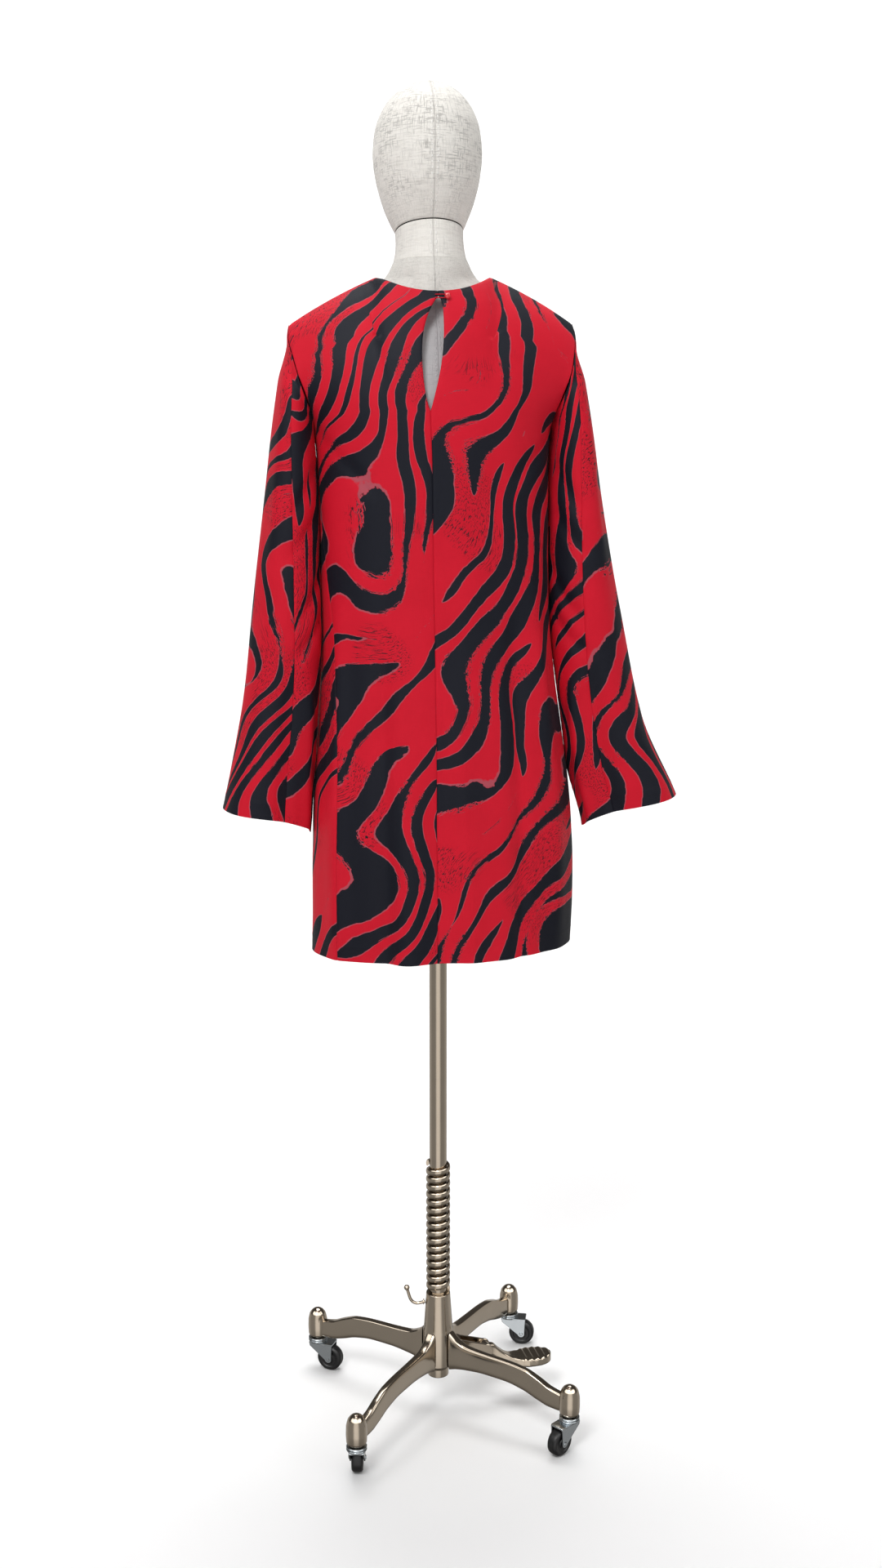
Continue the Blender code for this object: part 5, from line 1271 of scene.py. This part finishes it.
def brushed_print_group():
    """Brush-drawn bands: each level of a bent field is one stroke, with its own swelling and taper along it."""
    nodes, given, out = shader_group("brushed_bands", {"Band size": BAND_SIZE}, ("Ink", "Edge", "Tone"))
    flat = nodes.measured_in(given["Vector"], given["Band size"])
    x, y = nodes.separate(flat)[:2]

    def spread(label, scale, reach, detail=0.0):
        """Noise from its own part of the plane, centred on zero and as strong as its reach."""
        away = nodes.mapping(flat, location=(label * 37.0, label * 19.0, 0.0))
        return (nodes.flat_noise(away, scale, detail) - 0.5) * reach

    def patches(place, scale, low, high):
        """Slow clouds, from their own part of the plane."""
        return nodes.flat_noise(nodes.mapping(flat, location=(*place, 0.0)), scale, 1.0).ramp(low, high)

    # Two slow warps bend the bands into sweeps and tongues, a small one gives the hand's wobble.
    x = x + (spread(1, 0.22, 4.5) + spread(2, 0.50, 1.3))
    y = y + spread(3, 0.22, 4.5)
    cosine, sine = 0.86, 0.50       # the bands lie about 30 degrees off the grain
    level = x * cosine + y * -sine + spread(4, 3.4, 0.07, 2.0)
    along = y * cosine + x * sine
    stroke = nodes.math("FLOOR", level)
    # Swelling and taper of each stroke along its own length, and its drift off the middle of its lane.
    swell = nodes.flat_noise(nodes.combine(stroke * 7.31, along * 0.21), 1.0, 1.0)
    lean = nodes.flat_noise(nodes.combine(stroke * 3.77, along.scaled(0.30, 50.0)), 1.0, 0.0)
    off = abs(nodes.math("FRACT", level) - (lean - 0.5).scaled(0.34, 0.5))
    half = nodes.math("POWER", swell.ramp(0.38, 0.82, "LINEAR"), 0.46).scaled(0.53, -0.06)
    over = half - off
    # Dry brush: broken strokes along the edges, in patches.
    bristle = nodes.flat_noise(nodes.combine(level * 24.0, along * 9.0), 1.0, 3.0, 0.75)
    near = 1.0 - abs(over + 0.05).ramp(0.02, 0.19)
    over = over + patches((91.0, 13.0), 0.45, 0.52, 0.64) * near * ((bristle - 0.54) * 0.9)
    ink = over.ramp(-0.002, 0.004)
    # Scattered flecks where the brush skipped over the weave.
    flecks = bristle.ramp(0.575, 0.600) * patches((23.0, 67.0), 0.30, 0.55, 0.64)
    nodes.put(out["Ink"], nodes.math("MAXIMUM", ink, flecks))
    # A thin line of bare cloth and mixed dye runs along every stroke.
    nodes.put(out["Edge"], over.ramp(-0.036, -0.020) * (1.0 - ink))
    nodes.put(out["Tone"], nodes.flat_noise(flat, 0.6, 3.0))
    return nodes.tree


def weave_group():
    """Plain weave with slubs: two sets of threads, each with its own uneven thickness and shade."""
    nodes, given, out = shader_group("plain_weave", {"Thread": 0.0006, "Slub": 1.0}, ("Height", "Shade"))
    x, y = nodes.separate(nodes.measured_in(given["Vector"], given["Thread"]))[:2]
    crossed = nodes.math("SINE", x * math.pi) * nodes.math("SINE", y * math.pi)
    slub_x = nodes.flat_noise(nodes.combine(x * 0.5, y * 0.022), roughness=0.6)
    slub_y = nodes.flat_noise(nodes.combine(x * 0.022, y.scaled(0.5, 40.0)), roughness=0.6)
    slubs = (slub_x.ramp(0.56, 0.80) + slub_y.ramp(0.56, 0.80)) * given["Slub"]
    nodes.put(out["Height"], crossed.scaled(0.35, slubs))
    nodes.put(out["Shade"], nodes.math("ADD", (slub_x - slub_y) * 0.8 + crossed * 0.06, 0.5, clamp=True))
    return nodes.tree


def rubbed_metal_group():
    """Fine rubbing marks and cloudy handling on polished metal."""
    nodes, given, out = shader_group("rubbed_metal", {"Base": 0.2, "Amount": 0.06}, ("Roughness", "Height", "Cloud"))
    cloud = nodes.noise(given["Vector"], 38.0, 3.0)
    fine = nodes.noise(nodes.mapping(given["Vector"], scale=(1.0, 1.0, 0.12)), 900.0)
    rough = (cloud - 0.5).scaled(given["Amount"], given["Base"])
    nodes.put(out["Roughness"], (fine - 0.5).scaled(given["Amount"] * 0.8, rough))
    nodes.put(out["Height"], fine)
    nodes.put(out["Cloud"], cloud)
    return nodes.tree


def print_finish(name, bands, weave, band_size, paler):
    """Printed cloth; its reverse is paler, as the dye only soaks part of the way through."""
    material, nodes, shader = new_material(name, Sheen_Weight=0.02, Sheen_Roughness=0.4, Specular_IOR_Level=0.16)
    uv = nodes.uv()
    drawn = nodes.add("ShaderNodeGroup", {"Vector": uv, "Band size": band_size}, node_tree=bands).outputs
    ink, edge, tone = [Wire(nodes, socket) for socket in drawn]
    threads = nodes.group(weave, vector=uv, thread=PRINT_THREAD, slub=0.25)
    red = nodes.mix(tone, linear(198, 15, 38), linear(214, 21, 46))
    red = nodes.mix(threads["Shade"] * 0.16, red, linear(112, 6, 20))
    colour = nodes.mix(edge * 0.76, nodes.mix(ink, red, linear(15, 17, 27)), linear(160, 84, 96))
    if paler:
        colour = nodes.mix(paler, colour, linear(190, 90, 92))
    surface(nodes, shader, colour, ink.scaled(-0.06, 0.64), threads["Height"], 0.00006)
    return material


def linen_finish(weave):
    """Slubby linen with grey threads, and the stitched seam down the middle of the back."""
    material, nodes, shader = new_material("linen", Sheen_Weight=0.05, Sheen_Roughness=0.5, Specular_IOR_Level=0.2)
    uv = nodes.uv()
    threads = nodes.group(weave, vector=uv, thread=LINEN_THREAD, slub=1.0)
    # Grey slubs: short dark threads both ways, thicker in cloudy patches and on the head.
    dark = [nodes.flat_noise(nodes.mapping(uv, scale, (shift, shift, 0.0)), roughness=0.6).ramp(0.50, 0.70)
            for scale, shift in (((600.0, 75.0, 1.0), 0.0), ((75.0, 600.0, 1.0), 40.0))]
    patches = nodes.flat_noise(uv, 22.0, 3.0, 0.6).ramp(0.36, 0.62).scaled(0.72, 0.28)
    around, up = nodes.separate(uv)[:2]
    hatch = nodes.math("ADD", *dark, clamp=True) * (patches * up.ramp(1.61, 1.70).scaled(0.62, 0.38))
    colour = nodes.mix(threads["Shade"], linear(224, 220, 213), linear(242, 239, 233))
    colour = nodes.mix(hatch * 0.58, colour, linear(140, 137, 134))
    # The middle back seam, its groove darkened with painted shade, with a row of pale stitches on both sides of it.
    off = abs(around)
    seam = off.ramp(0.0015, 0.0004)
    dashes = nodes.math("SINE", up * (2 * math.pi / STITCH_LENGTH)).ramp(0.1, 0.5)
    stitches = abs(off - STITCH_OFF).ramp(0.0012, 0.0005) * dashes
    # Painted shade in the seam's groove.
    colour = nodes.mix(seam * 0.26, colour, linear(128, 124, 120))
    colour = nodes.mix(stitches * 0.80, colour, linear(250, 248, 244))
    # Painted shade: the linen at the back below the neckline, inside the keyhole where the dress shades it, is darkened
    # and greyed.
    y, z = nodes.separate(nodes.object_place())[1:]
    painted_shade = z.ramp(PAINTED_SHADE_Z, PAINTED_SHADE_Z - 0.018) * y.ramp(-0.030, -0.050)
    colour = nodes.mix(painted_shade * 0.72, colour, linear(164, 162, 168))
    relief = threads["Height"] + (stitches - seam) * 2.0
    surface(nodes, shader, colour, threads["Shade"].scaled(-0.08, 0.9), relief, 0.00025)
    return material


def make_materials(band_size):
    """Every finish of the object, made once."""
    bands, weave, rubbed = brushed_print_group(), weave_group(), rubbed_metal_group()
    made = {name: print_finish(name, bands, weave, band_size, paler)
            for name, paler in (("print_cloth", 0.0), ("print_reverse", 0.35))}
    made["linen"] = linen_finish(weave)
    for name, (metal, rough) in METALS.items():
        made[name], nodes, shader = new_material(name, Metallic=1.0)
        marks = nodes.group(rubbed, vector=nodes.object_place(), base=rough, amount=0.10)
        colour = nodes.mix(marks["Cloud"], linear(*[value * 0.94 for value in metal]), linear(*metal))
        surface(nodes, shader, colour, marks["Roughness"], marks["Height"], 0.00002)
    for name, (scale, detail, stretch, dark, pale, share, start, relief, constants) in PLAIN.items():
        made[name], nodes, shader = new_material(name, **constants)
        place = nodes.object_place()
        grain = nodes.noise(nodes.mapping(place, (1.0, 1.0, stretch)) if stretch != 1.0 else place, scale, detail)
        surface(nodes, shader, nodes.mix(grain, linear(*dark), linear(*pale)), grain.scaled(share, start),
                relief and grain, relief)
    return made


# ================================================================ studio
SWEEP_SIDE, SWEEP_BACK, SWEEP_BEND, SWEEP_TOP = 9.0, 2.6, 1.6, 6.5
OBJECT_MIDDLE = (0, 0, 1.1)
CAMERA_PLACE, CAMERA_TILT = (0.004 + STAND_X, -2.224, 1.328), 10.66
CAMERA_LENS, CAMERA_SENSOR = 38.78, 36.0
WORLD_STRENGTH = 0.45
LAMPS = {
    # place, diameter, power, what it shines at
    "key": ((-0.9, -2.3, 3.3), 1.2, 54.0, OBJECT_MIDDLE),
    "fill": ((2.4, -1.8, 2.2), 1.8, 8.0, OBJECT_MIDDLE),
    "top": ((-0.3, 0.1, 3.7), 1.4, 14.0, OBJECT_MIDDLE),
    "wall": ((0.0, 1.6, 4.2), 3.0, 120.0, (0, 3.6, 1.6)),
}


def make_floor(colour):
    """A seamless sweep: floor, quarter circle and wall, carried along X."""
    bend = arc_round(SWEEP_BACK, SWEEP_BEND, SWEEP_BEND, -90, 0, 25)
    profile = np.concatenate([[(-SWEEP_SIDE, 0.0)], bend, [(SWEEP_BACK + SWEEP_BEND, SWEEP_TOP)]])
    across = np.linspace(-SWEEP_SIDE, SWEEP_SIDE, 3)
    points = np.stack(np.broadcast_arrays(across[None, :], profile[:, :1], profile[:, 1:]), axis=-1)
    material, nodes, shader = new_material("studio_floor", Roughness=0.8, Specular_IOR_Level=0.1)
    grain = nodes.noise(nodes.object_place(), 6.0)
    nodes.put(shader["Base Color"], nodes.mix(grain, (*colour, 1.0), (*[value * 1.01 for value in colour], 1.0)))
    floor = put_mesh("floor", points.reshape(-1, 3), grid_quads(len(profile), len(across))[0], [material])
    floor.visible_glossy = False


def make_world(scene):
    """White all round for the cloth; only what is glossy sees a room of soft bright and dark screens."""
    scene.world = bpy.data.worlds.new("studio")
    scene.world.use_nodes = True
    sky = Nodes(scene.world.node_tree)
    x, y, z = sky.separate(sky.read("ShaderNodeTexCoord", "Generated"))
    ahead = sky.math("DIVIDE", y * -1.0, sky.math("SQRT", x * x + y * y))
    screens = (
        (ahead.ramp(0.1, -0.45), (1.25, 1.22, 1.18)),                                                  # behind
        (ahead.ramp(0.8, 0.99), (2.9, 2.85, 2.8)),                                                     # ahead
        (z.ramp(0.1, 0.24) * ahead.ramp(0.45, 0.05), (0.2, 0.19, 0.18)),                              # ceiling
        (z.ramp(0.42, 0.55) * z.ramp(0.86, 0.76) * ahead.ramp(-0.1, 0.2), (7.0, 6.95, 6.9)),          # softbox
        (z.ramp(-0.5, -0.75), (0.4, 0.38, 0.36)),                                                     # ground
    )
    mirrored = (0.88, 0.865, 0.845, 1.0)
    for share, colour in screens:
        mirrored = sky.mix(share, mirrored, (*colour, 1.0))
    seen = sky.mix(sky.read("ShaderNodeLightPath", "Is Glossy Ray"), (1.0, 1.0, 1.0, 1.0), mirrored)
    surroundings = scene.world.node_tree.nodes["Background"].inputs
    sky.put(surroundings["Color"], seen)
    surroundings["Strength"].default_value = WORLD_STRENGTH


def add_object(scene, name, data, place):
    added = bpy.data.objects.new(name, data)
    scene.collection.objects.link(added)
    added.location = place
    return added


def make_stage(scene, floor_colour):
    """Floor, surroundings, lights and camera."""
    scene.view_settings.view_transform = "Standard"
    make_floor(floor_colour)
    make_world(scene)
    for name, (place, size, power, aim) in LAMPS.items():
        lamp = bpy.data.lights.new(name, "AREA")
        lamp.shape, lamp.size, lamp.energy = "DISK", size, power
        light = add_object(scene, name, lamp, place)
        light.rotation_euler = (Vector(aim) - Vector(place)).to_track_quat("-Z", "Y").to_euler()
    lens = bpy.data.cameras.new("camera")
    lens.lens, lens.sensor_width = CAMERA_LENS, CAMERA_SENSOR
    scene.camera = add_object(scene, "camera", lens, CAMERA_PLACE)
    scene.camera.rotation_euler = (math.radians(90 - CAMERA_TILT), 0, 0)


# ================================================================ add-on
FINISHES = {}


class DressLook(bpy.types.PropertyGroup):
    """Sizes and colours of the dress and its stand that a user may change."""

    band_size: bpy.props.FloatProperty(name="Band size", description="Distance from one printed band to the next",
                                       default=BAND_SIZE, min=0.01, unit="LENGTH")
    floor_colour: bpy.props.FloatVectorProperty(name="Floor", description="Colour of the studio floor",
                                                default=(0.90, 0.90, 0.90), size=3, min=0, max=1, subtype="COLOR")


def finish_named(name):
    """A finish by its name, made together with the others on first use."""
    if not FINISHES:
        FINISHES.update(make_materials(bpy.context.scene.dress_look.band_size))
    return FINISHES[name]


class DRESS_OT_stage(bpy.types.Operator):
    """Set up the floor, soft lights, surroundings and camera"""

    bl_idname = "dress.stage"
    bl_label = "Studio"

    def execute(self, context):
        make_stage(context.scene, context.scene.dress_look.floor_colour)
        return {"FINISHED"}


class DRESS_OT_cloth(bpy.types.Operator):
    """Build the seven cut pieces of the dress as thin printed cloth"""

    bl_idname = "dress.cloth"
    bl_label = "Cloth pieces"

    def execute(self, context):
        for name in CUT_PLACES:
            make_panel(name, [finish_named("print_cloth"), finish_named("print_reverse")])
        return {"FINISHED"}


class DRESS_OT_form(bpy.types.Operator):
    """Build the linen torso, neck and head of the dress form"""

    bl_idname = "dress.form"
    bl_label = "Dress form"

    def execute(self, context):
        make_form_pieces(finish_named("linen"), finish_named("painted_neck_shade"))
        return {"FINISHED"}


class DRESS_OT_fastening(bpy.types.Operator):
    """Build the bead and the cloth loop that close the back of the neck"""

    bl_idname = "dress.fastening"
    bl_label = "Bead and loop"

    def execute(self, context):
        make_fastening(finish_named("red_bead"), finish_named("red_cord"))
        return {"FINISHED"}


class DRESS_OT_pole(bpy.types.Operator):
    """Build the pole, its spring, the hub and the hook"""

    bl_idname = "dress.pole"
    bl_label = "Pole, spring, hub and hook"

    def execute(self, context):
        nickel = finish_named("nickel")
        for make in (make_pole, make_spring, make_hub, make_hook):
            make(nickel)
        for slot in NODES["column"].material_slots:
            slot.material = nickel
        return {"FINISHED"}


class DRESS_OT_legs(bpy.types.Operator):
    """Build the four cast legs"""

    bl_idname = "dress.legs"
    bl_label = "Legs"

    def execute(self, context):
        for number in range(1, LEG_COUNT + 1):
            make_leg(number, finish_named("nickel"))
        return {"FINISHED"}


class DRESS_OT_casters(bpy.types.Operator):
    """Build the forks and wheels of the four casters"""

    bl_idname = "dress.casters"
    bl_label = "Casters"

    def execute(self, context):
        for number in range(1, LEG_COUNT + 1):
            make_caster(number, finish_named("zinc"), finish_named("black_rubber"))
        return {"FINISHED"}


class DRESS_OT_pedal(bpy.types.Operator):
    """Build the ribbed pedal and the cheeks that hold it"""

    bl_idname = "dress.pedal"
    bl_label = "Pedal"

    def execute(self, context):
        make_pedal(finish_named("nickel"))
        return {"FINISHED"}


STEPS = (DRESS_OT_stage, DRESS_OT_cloth, DRESS_OT_form, DRESS_OT_fastening, DRESS_OT_pole, DRESS_OT_legs,
         DRESS_OT_casters, DRESS_OT_pedal)


class DRESS_PT_panel(bpy.types.Panel):
    """Sidebar panel with the sizes, colours and steps"""

    bl_idname = "DRESS_PT_panel"
    bl_label = bl_category = "Dress"
    bl_space_type = "VIEW_3D"
    bl_region_type = "UI"

    def draw(self, context):
        for name in DressLook.__annotations__:
            self.layout.prop(context.scene.dress_look, name)
        for step in STEPS:
            self.layout.operator(step.bl_idname)


CLASSES = (DressLook, *STEPS, DRESS_PT_panel)


def register():
    for kind in CLASSES:
        bpy.utils.register_class(kind)
    bpy.types.Scene.dress_look = bpy.props.PointerProperty(type=DressLook)


def unregister():
    del bpy.types.Scene.dress_look
    for kind in reversed(CLASSES):
        bpy.utils.unregister_class(kind)


def main():
    register()
    for step in STEPS:
        group, name = step.bl_idname.split(".")
        getattr(getattr(bpy.ops, group), name)()


if __name__ == "__main__":
    main()
